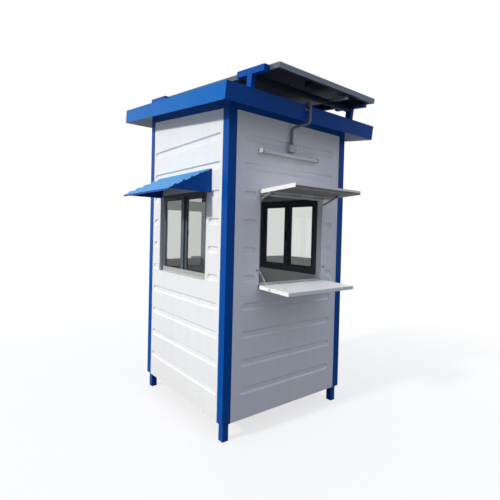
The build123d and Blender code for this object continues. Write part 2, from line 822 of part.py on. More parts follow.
leaf_edge = door_frame_face + door_leaf_gap
leaf_start = door_from_right + leaf_edge
leaf_width = door_width - 2 * leaf_edge
leaf_height = door_height - 2 * leaf_edge
door_pane_width = (leaf_width - 2 * door_stile - door_mullion) / 2
door_pane_offset = (door_mullion + door_pane_width) / 2
door_bar_bottom = wall_bottom + door_glass_sill + door_bar_above_sill
door_bar_top = door_bar_bottom + door_bar_height
door_upper_height = door_glass_height - door_bar_above_sill - door_bar_height
door_panes = (
    (door_middle - door_pane_offset, wall_bottom + door_glass_sill, door_bar_above_sill),
    (door_middle + door_pane_offset, wall_bottom + door_glass_sill, door_bar_above_sill),
    (door_middle - door_pane_offset, door_bar_top, door_upper_height),
    (door_middle + door_pane_offset, door_bar_top, door_upper_height),
)
with BuildPart() as door_leaf:
    with BuildSketch(back_face):
        with Locations((door_middle, wall_bottom + leaf_edge)):
            Rectangle(leaf_width, leaf_height, align=(Align.CENTER, Align.MIN))
        for pane_x, pane_bottom, pane_height in door_panes:
            with Locations((pane_x, pane_bottom)):
                Rectangle(
                    door_pane_width,
                    pane_height,
                    align=(Align.CENTER, Align.MIN),
                    mode=Mode.SUBTRACT,
                )
    extrude(amount=-door_leaf_thickness)
door_leaf.part.label = "door_leaf"
export_step(door_leaf.part, "parts/door_leaf.step")

with BuildPart() as door_glass:
    with BuildSketch(deep(back_face, (door_leaf_thickness - glass_thickness) / 2)):
        for pane_x, pane_bottom, pane_height in door_panes:
            with Locations((pane_x, pane_bottom)):
                Rectangle(door_pane_width, pane_height, align=(Align.CENTER, Align.MIN))
    extrude(amount=-glass_thickness)
door_glass.part.label = "door_glass"
export_step(door_glass.part, "parts/door_glass.step")

# Door hinges: three plates across the gap between the leaf and the jamb at the corner post
door_hinge_gap_middle = door_from_right + door_width - door_frame_face - door_leaf_gap / 2
with BuildPart() as door_hinges:
    with BuildSketch(back_face):
        for height in door_hinge_heights:
            with Locations((door_hinge_gap_middle, wall_bottom + height)):
                Rectangle(door_hinge_width, door_hinge_length)
    extrude(amount=door_hinge_thickness)
door_hinges.part.label = "door_hinges"
export_step(door_hinges.part, "parts/door_hinges.step")

# Door handle: a backplate and a lever on the outside
handle_height = wall_bottom + door_handle_height
with BuildPart() as door_handle:
    with BuildSketch(back_face):
        with Locations((leaf_start + door_handle_inset, handle_height)):
            RectangleRounded(40, 200, 12)
    extrude(amount=8)
    with BuildSketch(back_face.offset(8)):
        with Locations((leaf_start + door_handle_inset, handle_height + 30)):
            Circle(9)
    extrude(amount=40)
    with BuildSketch(back_face.offset(36)):
        with Locations((leaf_start + door_handle_inset + 55, handle_height + 30)):
            RectangleRounded(130, 20, 8)
    extrude(amount=14)
door_handle.part.label = "door_handle"
export_step(door_handle.part, "parts/door_handle.step")

# Roof: an insulated panel in a tray of four fascias, all in the sloping roof plane
roof_left = -roof_side_eaves
roof_right = cabin_width + roof_side_eaves
roof_width = roof_right - roof_left
roof_near = -roof_front_eaves
roof_far = cabin_depth / cos(radians(roof_slope)) + roof_back_eaves
roof_length = roof_far - roof_near
with BuildPart() as roof_panel:
    with BuildSketch(post_top_face):
        with Locations((roof_left + fascia_thickness, roof_near + fascia_thickness)):
            Rectangle(
                roof_width - 2 * fascia_thickness,
                roof_length - 2 * fascia_thickness,
                align=(Align.MIN, Align.MIN),
            )
    extrude(amount=roof_panel_thickness)
roof_panel.part.label = "roof_panel"
export_step(roof_panel.part, "parts/roof_panel.step")

fascia_base = roof_face.offset(-fascia_drop)
with BuildPart() as end_fascias:
    with BuildSketch(fascia_base):
        for along in (roof_near, roof_far - fascia_thickness):
            with Locations((roof_left, along)):
                Rectangle(roof_width, fascia_thickness, align=(Align.MIN, Align.MIN))
    extrude(amount=fascia_height)
end_fascias.part.label = "end_fascias"
export_step(end_fascias.part, "parts/end_fascias.step")

with BuildPart() as side_fascias:
    with BuildSketch(fascia_base):
        for across in (roof_left, roof_right - fascia_thickness):
            with Locations((across, roof_near + fascia_thickness)):
                Rectangle(
                    fascia_thickness,
                    roof_length - 2 * fascia_thickness,
                    align=(Align.MIN, Align.MIN),
                )
    extrude(amount=fascia_height)
side_fascias.part.label = "side_fascias"
export_step(side_fascias.part, "parts/side_fascias.step")

# Stands of the solar panel: a short post under a bar that lies along the slope
stand_offset = panel_width / 2 + panel_side_gap + stand_bar_width / 2
stand_across = (cabin_width / 2 - stand_offset, cabin_width / 2 + stand_offset)
stand_along = (-stand_front, roof_far - stand_back_from_end)
roof_surface = top_rail_height + roof_panel_thickness
with BuildPart() as panel_stands:
    with BuildSketch(roof_face.offset(roof_surface)):
        for across in stand_across:
            for along in stand_along:
                with Locations((across, along)):
                    Rectangle(stand_post_width, stand_post_depth)
    extrude(amount=stand_bar_bottom - roof_surface)
    with BuildSketch(roof_face.offset(stand_bar_bottom)):
        for across in stand_across:
            for along in stand_along:
                with Locations((across, along)):
                    Rectangle(stand_bar_width, stand_bar_length)
    extrude(amount=stand_bar_height)
panel_stands.part.label = "panel_stands"
export_step(panel_stands.part, "parts/panel_stands.step")

# Cross rails between the stands, under the panel
rail_start = stand_across[0] + stand_bar_width / 2
rail_length = stand_across[1] - stand_bar_width / 2 - rail_start
with BuildPart() as panel_rails:
    with BuildSketch(roof_face.offset(panel_bottom - rail_size)):
        for along in stand_along:
            with Locations((rail_start, along)):
                Rectangle(rail_length, rail_size, align=(Align.MIN, Align.CENTER))
    extrude(amount=rail_size)
panel_rails.part.label = "panel_rails"
export_step(panel_rails.part, "parts/panel_rails.step")

# Cable duct under the panel, along the slope, between and before the cross rails
with BuildPart() as cable_duct:
    with BuildSketch(roof_face.offset(panel_bottom - duct_below_panel)):
        with Locations((duct_across, stand_along[0] + rail_size / 2)):
            Rectangle(
                duct_width,
                stand_along[1] - stand_along[0] - rail_size,
                align=(Align.CENTER, Align.MIN),
            )
        with Locations((duct_across, stand_along[0] - rail_size / 2)):
            Rectangle(
                duct_width,
                stand_along[0] - rail_size / 2 - duct_near,
                align=(Align.CENTER, Align.MAX),
            )
    extrude(amount=duct_height)
cable_duct.part.label = "cable_duct"
export_step(cable_duct.part, "parts/cable_duct.step")

# Solar panel: a frame with a bottom lip round a thin laminate
panel_left = (cabin_width - panel_width) / 2
panel_near = -panel_front_reach
panel_middle = (cabin_width / 2, panel_near + panel_length / 2)
laminate_bottom = panel_bottom + panel_height - laminate_thickness
with BuildPart() as panel_frame:
    with BuildSketch(roof_face.offset(panel_bottom)):
        with Locations(panel_middle):
            Rectangle(panel_width, panel_length)
            Rectangle(
                panel_width - 2 * panel_frame_lip,
                panel_length - 2 * panel_frame_lip,
                mode=Mode.SUBTRACT,
            )
    extrude(amount=awning_sheet)
    with BuildSketch(roof_face.offset(panel_bottom)):
        with Locations(panel_middle):
            Rectangle(panel_width, panel_length)
            Rectangle(
                panel_width - 2 * panel_frame_face,
                panel_length - 2 * panel_frame_face,
                mode=Mode.SUBTRACT,
            )
    extrude(amount=panel_height)
panel_frame.part.label = "panel_frame"
export_step(panel_frame.part, "parts/panel_frame.step")

with BuildPart() as panel_laminate:
    with BuildSketch(roof_face.offset(laminate_bottom)):
        with Locations(panel_middle):
            Rectangle(panel_width - 2 * panel_frame_face, panel_length - 2 * panel_frame_face)
    extrude(amount=laminate_thickness)
panel_laminate.part.label = "panel_laminate"
export_step(panel_laminate.part, "parts/panel_laminate.step")

with BuildPart() as junction_box:
    with BuildSketch(roof_face.offset(laminate_bottom)):
        with Locations((junction_across, panel_near + junction_from_edge)):
            Rectangle(junction_width, junction_length, align=(Align.CENTER, Align.MIN))
    extrude(amount=-junction_height)
junction_box.part.label = "panel_junction_box"
export_step(junction_box.part, "parts/panel_junction_box.step")

# Wall box on the hatch wall
wall_box_x = left + conduit_across
wall_box_z = wall_bottom + wall_box_bottom
with BuildPart() as wall_box:
    with BuildSketch(front_face):
        with Locations((conduit_across, wall_box_z)):
            Rectangle(wall_box_width, wall_box_height, align=(Align.CENTER, Align.MIN))
    extrude(amount=wall_box_depth)
wall_box.part.label = "wall_box"
export_step(wall_box.part, "parts/wall_box.step")

# Conduit: up the wall from the box, out under the eaves, up over the front fascia and back
conduit_wall_y = front - conduit_stand_off
fascia_top_edge = roof_face.from_local_coords(Vector(0, roof_near, fascia_height - fascia_drop))
fascia_bottom_edge = roof_face.from_local_coords(Vector(0, roof_near, -fascia_drop))
conduit_out_y = fascia_top_edge.Y - conduit_stand_off
conduit_low_z = fascia_bottom_edge.Z - conduit_stand_off
conduit_top_z = fascia_top_edge.Z + conduit_stand_off
conduit_end_y = fascia_top_edge.Y + 60
with BuildPart() as conduit:
    with BuildLine() as conduit_route:
        FilletPolyline(
            (wall_box_x, conduit_wall_y, wall_box_z + wall_box_height),
            (wall_box_x, conduit_wall_y, conduit_low_z),
            (wall_box_x, conduit_out_y, conduit_low_z),
            (wall_box_x, conduit_out_y, conduit_top_z),
            (wall_box_x, conduit_end_y, conduit_top_z),
            radius=conduit_bend,
        )
    with BuildSketch(Plane(origin=conduit_route.line @ 0, z_dir=conduit_route.line % 0)):
        Circle(conduit_radius)
    sweep()
conduit.part.label = "conduit"
export_step(conduit.part, "parts/conduit.step")

# Lamp: a batten with a tube below it
lamp_z = wall_bottom + lamp_bottom + lamp_tube_radius + lamp_base_height / 2
with BuildPart() as lamp_base:
    with BuildSketch(front_face):
        with Locations((lamp_start + lamp_length / 2, lamp_z)):
            Rectangle(lamp_length, lamp_base_height)
    extrude(amount=lamp_base_depth)
lamp_base.part.label = "lamp_base"
export_step(lamp_base.part, "parts/lamp_base.step")

with BuildPart() as lamp_tube:
    with BuildSketch(Plane.YZ.offset(left + lamp_start)):
        with Locations((front - lamp_base_depth - lamp_tube_radius, lamp_z)):
            Circle(lamp_tube_radius)
    extrude(amount=lamp_length)
lamp_tube.part.label = "lamp_tube"
export_step(lamp_tube.part, "parts/lamp_tube.step")
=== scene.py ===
# %% [markdown]
# # A small steel guard booth
#
# The booth is a cabin of pressed steel panels on a welded frame, with a serving hatch, sliding
# windows, an awning, a door and a solar panel on its roof. The solid model brings every part at
# its true place and size, in metres. This lesson gives each part the finish it really has, and
# rebuilds in mesh code the parts whose looks depend on folds, rounded edges and small fittings.

import json
from math import cos, pi, radians, sin

import bmesh
import bpy
from mathutils import Matrix, Vector


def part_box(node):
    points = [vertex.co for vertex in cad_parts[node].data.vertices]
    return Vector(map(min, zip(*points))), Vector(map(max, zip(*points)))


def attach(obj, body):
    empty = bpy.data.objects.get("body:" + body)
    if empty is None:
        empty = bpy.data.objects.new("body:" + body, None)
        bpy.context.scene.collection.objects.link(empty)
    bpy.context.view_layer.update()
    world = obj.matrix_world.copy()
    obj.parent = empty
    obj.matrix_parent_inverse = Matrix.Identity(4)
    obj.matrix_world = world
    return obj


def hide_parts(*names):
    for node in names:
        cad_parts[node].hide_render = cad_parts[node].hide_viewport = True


MM = 0.001
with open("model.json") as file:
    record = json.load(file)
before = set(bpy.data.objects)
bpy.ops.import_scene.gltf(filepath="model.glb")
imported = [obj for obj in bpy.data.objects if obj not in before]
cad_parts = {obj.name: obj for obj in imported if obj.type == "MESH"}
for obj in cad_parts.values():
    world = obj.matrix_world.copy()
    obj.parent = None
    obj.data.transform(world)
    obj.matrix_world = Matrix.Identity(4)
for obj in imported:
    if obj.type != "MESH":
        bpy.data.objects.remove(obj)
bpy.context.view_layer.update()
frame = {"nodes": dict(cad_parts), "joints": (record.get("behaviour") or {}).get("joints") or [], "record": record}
nodes = frame["nodes"]

# %% [markdown]
# ## Colours and nodes
#
# Paint colours are picked as the sRGB hex values that a colour chart gives. Cycles works with
# linear light, so one function turns each of them to linear. Another adds a node with its
# settings, values and links in one line, which keeps the materials short enough to read as
# recipes. In most of them one slow pattern shifts both the shade and the gloss, and a fine one
# gives the relief, so a third function does that. The patterns read Object coordinates, which
# are metres here, so a scale of 1 over a length gives a pattern of that size.

# %% Helpers for materials
def linear(code):
    """An sRGB hex colour as linear red, green and blue, with an alpha of 1."""
    channels = [int(code[place:place + 2], 16) / 255 for place in (1, 3, 5)]
    return [c / 12.92 if c <= 0.04045 else ((c + 0.055) / 1.055) ** 2.4 for c in channels] + [1.0]


def fill(node, **details):
    """Sets a node's settings, which start small, and its sockets. _6 is the socket number 6.

    A socket takes a value, another node's output, or a node, for its first output in use.
    """
    for name, value in details.items():
        if name[0].islower():
            setattr(node, name, value)
            continue
        socket = node.inputs[int(name[1:]) if name[1:].isdigit() else name.replace("_", " ")]
        if isinstance(value, bpy.types.Node):
            value = next(output for output in value.outputs if output.enabled)
        if isinstance(value, bpy.types.NodeSocket):
            node.id_data.links.new(value, socket)
        else:
            socket.default_value = value


def add_node(owner, kind, **details):
    """Adds one node to a material or to the world."""
    node = owner.node_tree.nodes.new("ShaderNode" + kind)
    fill(node, **details)
    return node


def new_finish(name, colour, **sockets):
    """A material, its shader with plain values set on it, and the coordinates for patterns."""
    finish = bpy.data.materials.new(name)
    finish.use_nodes = True
    shader = finish.node_tree.nodes["Principled BSDF"]
    fill(shader, Base_Color=linear(colour), **sockets)
    return finish, shader, add_node(finish, "TexCoord").outputs["Object"]


def vary(finish, shader, drift, shades, gloss, grain, strength, depth):
    """Shade and roughness drift with one pattern, and a second one gives the relief."""
    dark, light = (linear(shade) for shade in shades)
    tint = add_node(finish, "Mix", data_type="RGBA", _0=drift, _6=dark, _7=light)
    dullness = add_node(finish, "MapRange", Value=drift, To_Min=gloss[0], To_Max=gloss[1])
    relief = add_node(finish, "Bump", Height=grain, Strength=strength, Distance=depth)
    fill(shader, Base_Color=tint, Roughness=dullness, Normal=relief)


print("sRGB #808080 is linear", round(linear("#808080")[0], 3))

# %% [markdown]
# ## Blue enamel
#
# The posts, trims, fascias, awning and panel stands are mild steel sprayed with a blue machine
# enamel. Sprayed enamel is smooth but never flat: it has a fine orange peel of about 3 mm, its
# colour shifts a little where the coat is thin, and dust settles on it low down. Noise at three
# real sizes makes these, each far too faint to read as a pattern. The side fascias have a lighter
# coat than the posts, which is partly painted sunlight, and the awning's top is lighter still,
# which is a painted sky glare, so one function makes all three.

# %% Blue enamel on steel
def enamel(name, thin, full):
    """Sprayed enamel between two shades, with orange peel and low dust."""
    finish, shader, place = new_finish(name, full, Roughness=0.38, Specular_IOR_Level=0.1)
    cloud = add_node(finish, "TexNoise", Vector=place, Scale=1 / (260 * MM), Detail=4.0, Roughness=0.6)
    coat = add_node(finish, "Mix", data_type="RGBA", _0=cloud, _6=linear(thin), _7=linear(full))
    height = add_node(finish, "SeparateXYZ", Vector=place).outputs["Z"]
    low = add_node(
        finish, "MapRange", Value=height, From_Min=0.0, From_Max=400 * MM, To_Min=0.12, To_Max=0.0,
    )
    grit = add_node(finish, "TexNoise", Vector=place, Scale=1 / (14 * MM), Detail=6.0, Roughness=0.7)
    dust = add_node(finish, "Math", operation="MULTIPLY", _0=low, _1=grit)
    dusty = add_node(finish, "Mix", data_type="RGBA", _0=dust, _6=coat, _7=linear("#6f7378"))
    gloss = add_node(finish, "MapRange", Value=cloud, To_Min=0.32, To_Max=0.46)
    peel = add_node(finish, "TexNoise", Vector=place, Scale=1 / (3 * MM), Detail=2.0)
    relief = add_node(finish, "Bump", Height=peel, Strength=0.12, Distance=0.3 * MM)
    fill(shader, Base_Color=dusty, Roughness=gloss, Normal=relief)
    return finish


blue_enamel = enamel("blue_enamel", "#004293", "#0053a8")
# Lighter blue for the side fascias: partly their own sheet coat, partly painted sunlight on the sunny side.
lighter_coat_and_painted_sun = enamel("lighter_enamel_and_painted_sun", "#015db0", "#066dbf")
# Painted sky glare: the awning's top is made a lighter blue instead of being lit brighter.
painted_glare_blue = enamel("enamel_with_painted_glare", "#2c82c4", "#4a9ad4")
print("enamels", [finish.name for finish in (blue_enamel, lighter_coat_and_painted_sun, painted_glare_blue)])

# %% [markdown]
# ## White coated steel
#
# The wall panels are steel sheet with a factory coat of satin off-white, pressed with long
# grooves and filled with foam. Pressing leaves the sheet slightly wavy over a hand's width, which
# bends the reflections. Rain draws faint grey streaks down from each groove, and splashes leave
# warm dust near the ground. The streaks are a noise that is drawn out upwards, by a Mapping node
# that shrinks the height which the noise reads.

# %% White coated sheet
def white_sheet(name, clean, worn, streak_strength):
    """Satin white coating with rain streaks, low dust and a slightly wavy surface."""
    finish, shader, place = new_finish(name, clean, Roughness=0.42, Specular_IOR_Level=0.35, IOR=1.5)
    height = add_node(finish, "SeparateXYZ", Vector=place).outputs["Z"]
    drawn_out = add_node(finish, "Mapping", Vector=place, Scale=(1.0, 1.0, 0.09))
    rain = add_node(finish, "TexNoise", Vector=drawn_out, Scale=1 / (70 * MM), Detail=4.0, Roughness=0.6)
    streak = add_node(
        finish, "MapRange", Value=rain, From_Min=0.45, From_Max=0.85, To_Min=0.0, To_Max=streak_strength,
    )
    streaked = add_node(finish, "Mix", data_type="RGBA", _0=streak, _6=linear(clean), _7=linear(worn))
    low = add_node(
        finish, "MapRange", Value=height, From_Min=120 * MM, From_Max=750 * MM, To_Min=0.3, To_Max=0.0,
    )
    splash = add_node(finish, "TexNoise", Vector=place, Scale=1 / (30 * MM), Detail=7.0, Roughness=0.7)
    splashed = add_node(finish, "Math", operation="MULTIPLY", _0=low, _1=splash)
    dusty = add_node(finish, "Mix", data_type="RGBA", _0=splashed, _6=streaked, _7=linear("#c9c2b6"))
    gloss = add_node(finish, "MapRange", Value=rain, To_Min=0.36, To_Max=0.52)
    wave = add_node(finish, "TexNoise", Vector=place, Scale=1 / (120 * MM), Detail=1.0)
    wavy = add_node(finish, "Bump", Height=wave, Strength=0.35, Distance=1.6 * MM)
    fill(shader, Base_Color=dusty, Roughness=gloss, Normal=wavy)
    return finish


wall_white = white_sheet("white_coated_steel", "#e8eaed", "#c3c3c0", 0.2)
hatch_white = white_sheet("white_painted_hatch", "#f1f1f0", "#cbc8c1", 0.25)
# Painted shade: a darker grey for the flap's downward faces, which are the same white sheet.
flap_underside_painted_shade = white_sheet("white_sheet_with_painted_shade", "#9d9e96", "#77776f", 0.5)
lining_grey = white_sheet("galvanised_lining", "#e2e4e0", "#b4b6b2", 0.4)
print("sheets", [finish.name for finish in (wall_white, hatch_white, flap_underside_painted_shade, lining_grey)])

# %% [markdown]
# ## Slate powder coat
#
# The window and door frames are aluminium sections with a slate powder coat. Powder coat has a
# grain of about half a millimetre, which the render can't show, so the noise that roughens it is
# a little coarser.

# %% Slate powder coat
slate_coat, slate_shader, slate_place = new_finish(
    "slate_powder_coat", "#3e444c", Roughness=0.5, Specular_IOR_Level=0.4,
)
slate_cloud = add_node(slate_coat, "TexNoise", Vector=slate_place, Scale=1 / (90 * MM), Detail=3.0)
powder = add_node(slate_coat, "TexNoise", Vector=slate_place, Scale=1 / (0.8 * MM), Detail=1.0)
vary(slate_coat, slate_shader, slate_cloud, ("#47515c", "#556069"), (0.42, 0.6), powder, 0.15, 0.1 * MM)
print(slate_coat.name, len(slate_coat.node_tree.nodes), "nodes")

# %% [markdown]
# ## Float glass
#
# The panes are 5 mm float glass, with the faint green that iron gives it. They carry a little
# dust, which only shows as a change of gloss, so a noise drives nothing but the roughness.

# %% Float glass
float_glass, glass_shader, glass_place = new_finish(
    "float_glass", "#dcdfdb", Roughness=0.02, IOR=1.5, Transmission_Weight=1.0,
)
glass_dust = add_node(
    float_glass, "TexNoise", Vector=glass_place, Scale=1 / (60 * MM), Detail=6.0, Roughness=0.7,
)
glass_film = add_node(
    float_glass, "MapRange", Value=glass_dust, From_Min=0.45, From_Max=0.8, To_Min=0.0, To_Max=0.06,
)
fill(glass_shader, Roughness=glass_film)
print(float_glass.name, len(float_glass.node_tree.nodes), "nodes")

# %% [markdown]
# ## Metals
#
# The hinges, stays, tie rods and brackets are zinc plated. Bright zinc is a soft grey metal with
# a patchy gloss, which a cell pattern of about 6 mm gives. The solar panel's frame and rails and
# the window sills are anodised aluminium, which is extruded, so its fine lines run along each bar:
# a Mapping node stretches the noise along one axis. The rails under the panel are made dark, which
# is painted shade.

# %% Zinc plate
zinc_plate, zinc_shader, zinc_place = new_finish("zinc_plated_steel", "#a9adb0", Metallic=1.0, Roughness=0.38)
spangle = add_node(zinc_plate, "TexVoronoi", Vector=zinc_place, Scale=1 / (6 * MM))
vary(zinc_plate, zinc_shader, spangle, ("#9da1a5", "#b7babc"), (0.3, 0.52), spangle, 0.12, 0.1 * MM)
print(zinc_plate.name, len(zinc_plate.node_tree.nodes), "nodes")

# %% Anodised aluminium
ALONG_X, ALONG_Y = 0, 1


def anodised(name, colour, lines_along):
    """Anodised aluminium with extrusion lines along one axis."""
    finish, shader, place = new_finish(name, colour, Metallic=0.9, Roughness=0.42)
    scale = [1.0, 1.0, 1.0]
    scale[lines_along] = 0.01
    stretched = add_node(finish, "Mapping", Vector=place, Scale=scale)
    lines = add_node(finish, "TexNoise", Vector=stretched, Scale=1 / (2.5 * MM), Detail=3.0)
    gloss = add_node(finish, "MapRange", Value=lines, To_Min=0.34, To_Max=0.5)
    relief = add_node(finish, "Bump", Height=lines, Strength=0.1, Distance=0.1 * MM)
    fill(shader, Roughness=gloss, Normal=relief)
    return finish


frame_aluminium = anodised("anodised_aluminium", "#5b6672", ALONG_Y)
# Painted shade: the rails under the panel are made nearly black for the deep shade there.
rail_painted_shade = anodised("rail_aluminium_painted_shade", "#27303c", ALONG_X)
sill_aluminium = anodised("mill_aluminium_sill", "#d4d5d2", ALONG_Y)
print("aluminium", [finish.name for finish in (frame_aluminium, rail_painted_shade, sill_aluminium)])

# %% [markdown]
# ## Plastics and rubber
#
# Conduit and boxes are grey PVC, extruded or moulded with a fine matt grain. Knobs, latches and
# the junction box are black nylon. The glazing gaskets and door seals are EPDM rubber, which is
# nearly black and hardly shines. The lamp's tube is opal polycarbonate. They differ in colour,
# gloss and grain alone, so one function makes them all.

# %% PVC, nylon, rubber and the opal tube
GLOSS_SPREAD = 0.08


def moulded(name, colour, shade, roughness, grain):
    """A moulded plastic or rubber with a fine grain and a slight change of shade."""
    finish, shader, place = new_finish(name, colour, Roughness=roughness, Specular_IOR_Level=0.35)
    drift = add_node(finish, "TexNoise", Vector=place, Scale=1 / (45 * MM), Detail=4.0)
    fine = add_node(finish, "TexNoise", Vector=place, Scale=1 / grain, Detail=2.0)
    gloss = (roughness - GLOSS_SPREAD, roughness + GLOSS_SPREAD)
    vary(finish, shader, drift, (colour, shade), gloss, fine, 0.2, 0.15 * MM)
    return finish


grey_pvc = moulded("grey_pvc", "#7f8590", "#70767f", 0.5, 1.0 * MM)
pale_plastic = moulded("pale_grey_plastic", "#c6cad0", "#b9bdc3", 0.45, 1.0 * MM)
black_nylon = moulded("black_nylon", "#14151a", "#1e2026", 0.45, 0.8 * MM)
black_rubber = moulded("epdm_rubber", "#101113", "#1a1b1d", 0.7, 1.2 * MM)
opal_tube = moulded("opal_polycarbonate", "#e4e6e4", "#d9dcda", 0.3, 1.5 * MM)
# Painted shade: the panel's back sheet is made dark to stand for the shade under the panel.
panel_rear_shade = moulded("panel_rear_painted_shade", "#1d2634", "#273142", 0.4, 1.5 * MM)
print("plastics", len(bpy.data.materials), "materials so far")

# %% [markdown]
# ## The solar panel's cells
#
# The panel is six by ten silicon cells of 156 mm under glass, 3 mm apart. The cells are nearly
# black with a blue cast, and thin pale lines show between them, with finer silver ribbons across
# each cell. All of it lies flat in the panel, so the pattern is turned to the roof's slope first,
# and the glass on top is the shader's own coat. A brick texture with no offset makes such a grid,
# where the mortar is the gap. A second one with very tall bricks leaves only the ribbons.

# %% Cells under glass
ROOF_SLOPE = radians(6.8)
CELL_PITCH = 159 * MM
CELL_LINE = 1.6 * MM
RIBBON = 0.7 * MM
RIBBONS_PER_CELL = 3
NEVER = 100.0
BLACK, WHITE = linear("#000000"), linear("#ffffff")
panel_low, panel_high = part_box("panel_laminate")
panel_centre = (panel_low + panel_high) / 2

cell_glass, cell_shader, cell_place = new_finish(
    "silicon_cells_under_glass", "#0d1428", Roughness=0.35, Specular_IOR_Level=0.1,
    Coat_Weight=0.7, Coat_Roughness=0.05,
)
centred = add_node(cell_glass, "VectorMath", operation="SUBTRACT", _0=cell_place, _1=panel_centre)
levelled = add_node(cell_glass, "Mapping", Vector=centred, Rotation=(-ROOF_SLOPE, 0.0, 0.0))
cell_grid = add_node(
    cell_glass, "TexBrick", offset=0.0, squash=1.0, Vector=levelled,
    Color1=linear("#0a1230"), Color2=linear("#0d183b"), Mortar=linear("#9aa1aa"), Scale=1.0,
    Mortar_Size=CELL_LINE, Brick_Width=CELL_PITCH, Row_Height=CELL_PITCH, Bias=0.0, Mortar_Smooth=0.0,
)
ribbons = add_node(
    cell_glass, "TexBrick", offset=0.0, squash=1.0, Vector=levelled,
    Color1=BLACK, Color2=BLACK, Mortar=WHITE, Scale=1.0, Mortar_Size=RIBBON,
    Brick_Width=CELL_PITCH / RIBBONS_PER_CELL, Row_Height=NEVER, Mortar_Smooth=0.0,
)
with_ribbons = add_node(
    cell_glass, "Mix", data_type="RGBA", _0=ribbons.outputs["Fac"], _6=cell_grid, _7=linear("#5d6570"),
)
dust_film = add_node(cell_glass, "TexNoise", Vector=cell_place, Scale=1 / (180 * MM), Detail=6.0)
film_gloss = add_node(cell_glass, "MapRange", Value=dust_film, To_Min=0.02, To_Max=0.14)
ribbon_relief = add_node(cell_glass, "Bump", Height=ribbons.outputs["Fac"], Strength=0.1, Distance=0.1 * MM)
fill(cell_shader, Base_Color=with_ribbons, Coat_Roughness=film_gloss, Normal=ribbon_relief)
print("panel centre", [round(v, 3) for v in panel_centre])

# %% [markdown]
# ## The floor board
#
# The floor is a sealed plywood board. Plywood shows long wavy grain lines some 16 mm apart, which
# a noise draws once it is stretched along the booth's depth and slightly distorted.

# %% Sealed plywood
sealed_ply, ply_shader, ply_place = new_finish(
    "sealed_plywood", "#7b6248", Roughness=0.45, Specular_IOR_Level=0.4,
)
ply_stretch = add_node(sealed_ply, "Mapping", Vector=ply_place, Scale=(1.0, 0.08, 1.0))
grain = add_node(
    sealed_ply, "TexNoise", Vector=ply_stretch, Scale=1 / (16 * MM), Detail=6.0, Distortion=1.2,
)
vary(sealed_ply, ply_shader, grain, ("#5f4a35", "#967a5a"), (0.4, 0.6), grain, 0.2, 0.2 * MM)
print(sealed_ply.name, len(sealed_ply.node_tree.nodes), "nodes")

# %% [markdown]
# ## Finishing the solids that stay
#
# Many solids already have their true shape, such as the pressed wall panels and the window
# glass. They keep their meshes and only take a finish.

# %% Finishes of the solids
finish_of_slot = {
    "blue_paint": blue_enamel,
    "white_paint": wall_white,
    "window_slate": slate_coat,
    "clear_glass": float_glass,
    "black_plastic": black_nylon,
    "zinc_steel": zinc_plate,
    "mill_aluminium": frame_aluminium,
    "cell_glass": cell_glass,
    "grey_plastic": grey_pvc,
    "lamp_white": opal_tube,
    "floor_ply": sealed_ply,
}
for subpart in frame["record"]["subparts"]:
    solid = nodes[subpart["node"]]
    solid.data.materials.clear()
    solid.data.materials.append(finish_of_slot[subpart["material_slot"]])

# %% [markdown]
# ## Two ways to start a piece
#
# A new piece is modelled in a bmesh, an editable mesh that operators shape. Some pieces start
# from a cube or a cone that is stretched to its place. The cube is given by two opposite corners
# in any order, which suits pieces that are mirrored from one side of the booth to the other.

# %% Helpers that start from a cube or a cone
def round_rims(mesh, rims, radius, segments=2):
    """Bevels a list of edges to a radius."""
    bmesh.ops.bevel(
        mesh, geom=rims, offset=radius, segments=segments, profile=0.5, affect="EDGES",
        clamp_overlap=True, material=-1,
    )


def rims_of(made):
    """The edges at the corners that an operator made, each once and in a fixed order."""
    return list(dict.fromkeys(rim for corner in made["verts"] for rim in corner.link_edges))


def block(mesh, corner, opposite, edge, segments=2):
    """A box between two opposite corners with rounded edges, added to a bmesh."""
    low = Vector([min(pair) for pair in zip(corner, opposite)])
    high = Vector([max(pair) for pair in zip(corner, opposite)])
    stretch = Matrix.Translation((low + high) / 2) @ Matrix.Diagonal((*(high - low), 1.0))
    made = bmesh.ops.create_cube(mesh, size=1.0, matrix=stretch)
    round_rims(mesh, rims_of(made), edge, segments)


def rod(mesh, start, run, radius, sides, edge):
    """A round bar from a point along a run, its end rims rounded, added to a bmesh."""
    start, run = Vector(start), Vector(run)
    turn = run.to_track_quat("Z", "Y").to_matrix().to_4x4()
    made = bmesh.ops.create_cone(
        mesh, cap_ends=True, segments=sides, radius1=radius, radius2=radius,
        depth=run.length, matrix=Matrix.Translation(start + run / 2) @ turn,
    )
    end_rims = [rim for rim in rims_of(made) if any(len(face.verts) > 4 for face in rim.link_faces)]
    round_rims(mesh, end_rims, edge)


trial = bmesh.new()
block(trial, (0, 0, 0), (1, 1, 1), 0.1)
print("a rounded block has", len(trial.faces), "faces")
trial.free()

# %% [markdown]
# Other pieces start from a copy of their solid: its triangles are merged into clean faces first,
# and then a bevel rounds its edges as a press brake or a paint coat does. Next to a narrow rounded
# edge, smooth shading would bend the look of a wide flat face, so a Weighted Normal modifier lets
# the large faces lead. Each finished piece rides on the body that it belongs to, and takes the
# place of the solids that it redraws.

# %% Helpers that copy a solid and place a piece
SHARP_BEND = 35


def put_in_scene(name, data):
    """An object of some data, linked to the scene."""
    made = bpy.data.objects.new(name, data)
    bpy.context.scene.collection.objects.link(made)
    return made


def merged_copy(name):
    """A bmesh of a solid with its loose triangles merged into clean faces."""
    mesh = bmesh.new()
    mesh.from_mesh(nodes[name].data)
    bmesh.ops.remove_doubles(mesh, verts=mesh.verts, dist=0.02 * MM)
    bmesh.ops.dissolve_limit(
        mesh, angle_limit=radians(0.5), verts=mesh.verts, edges=mesh.edges, use_dissolve_boundaries=False,
    )
    return mesh


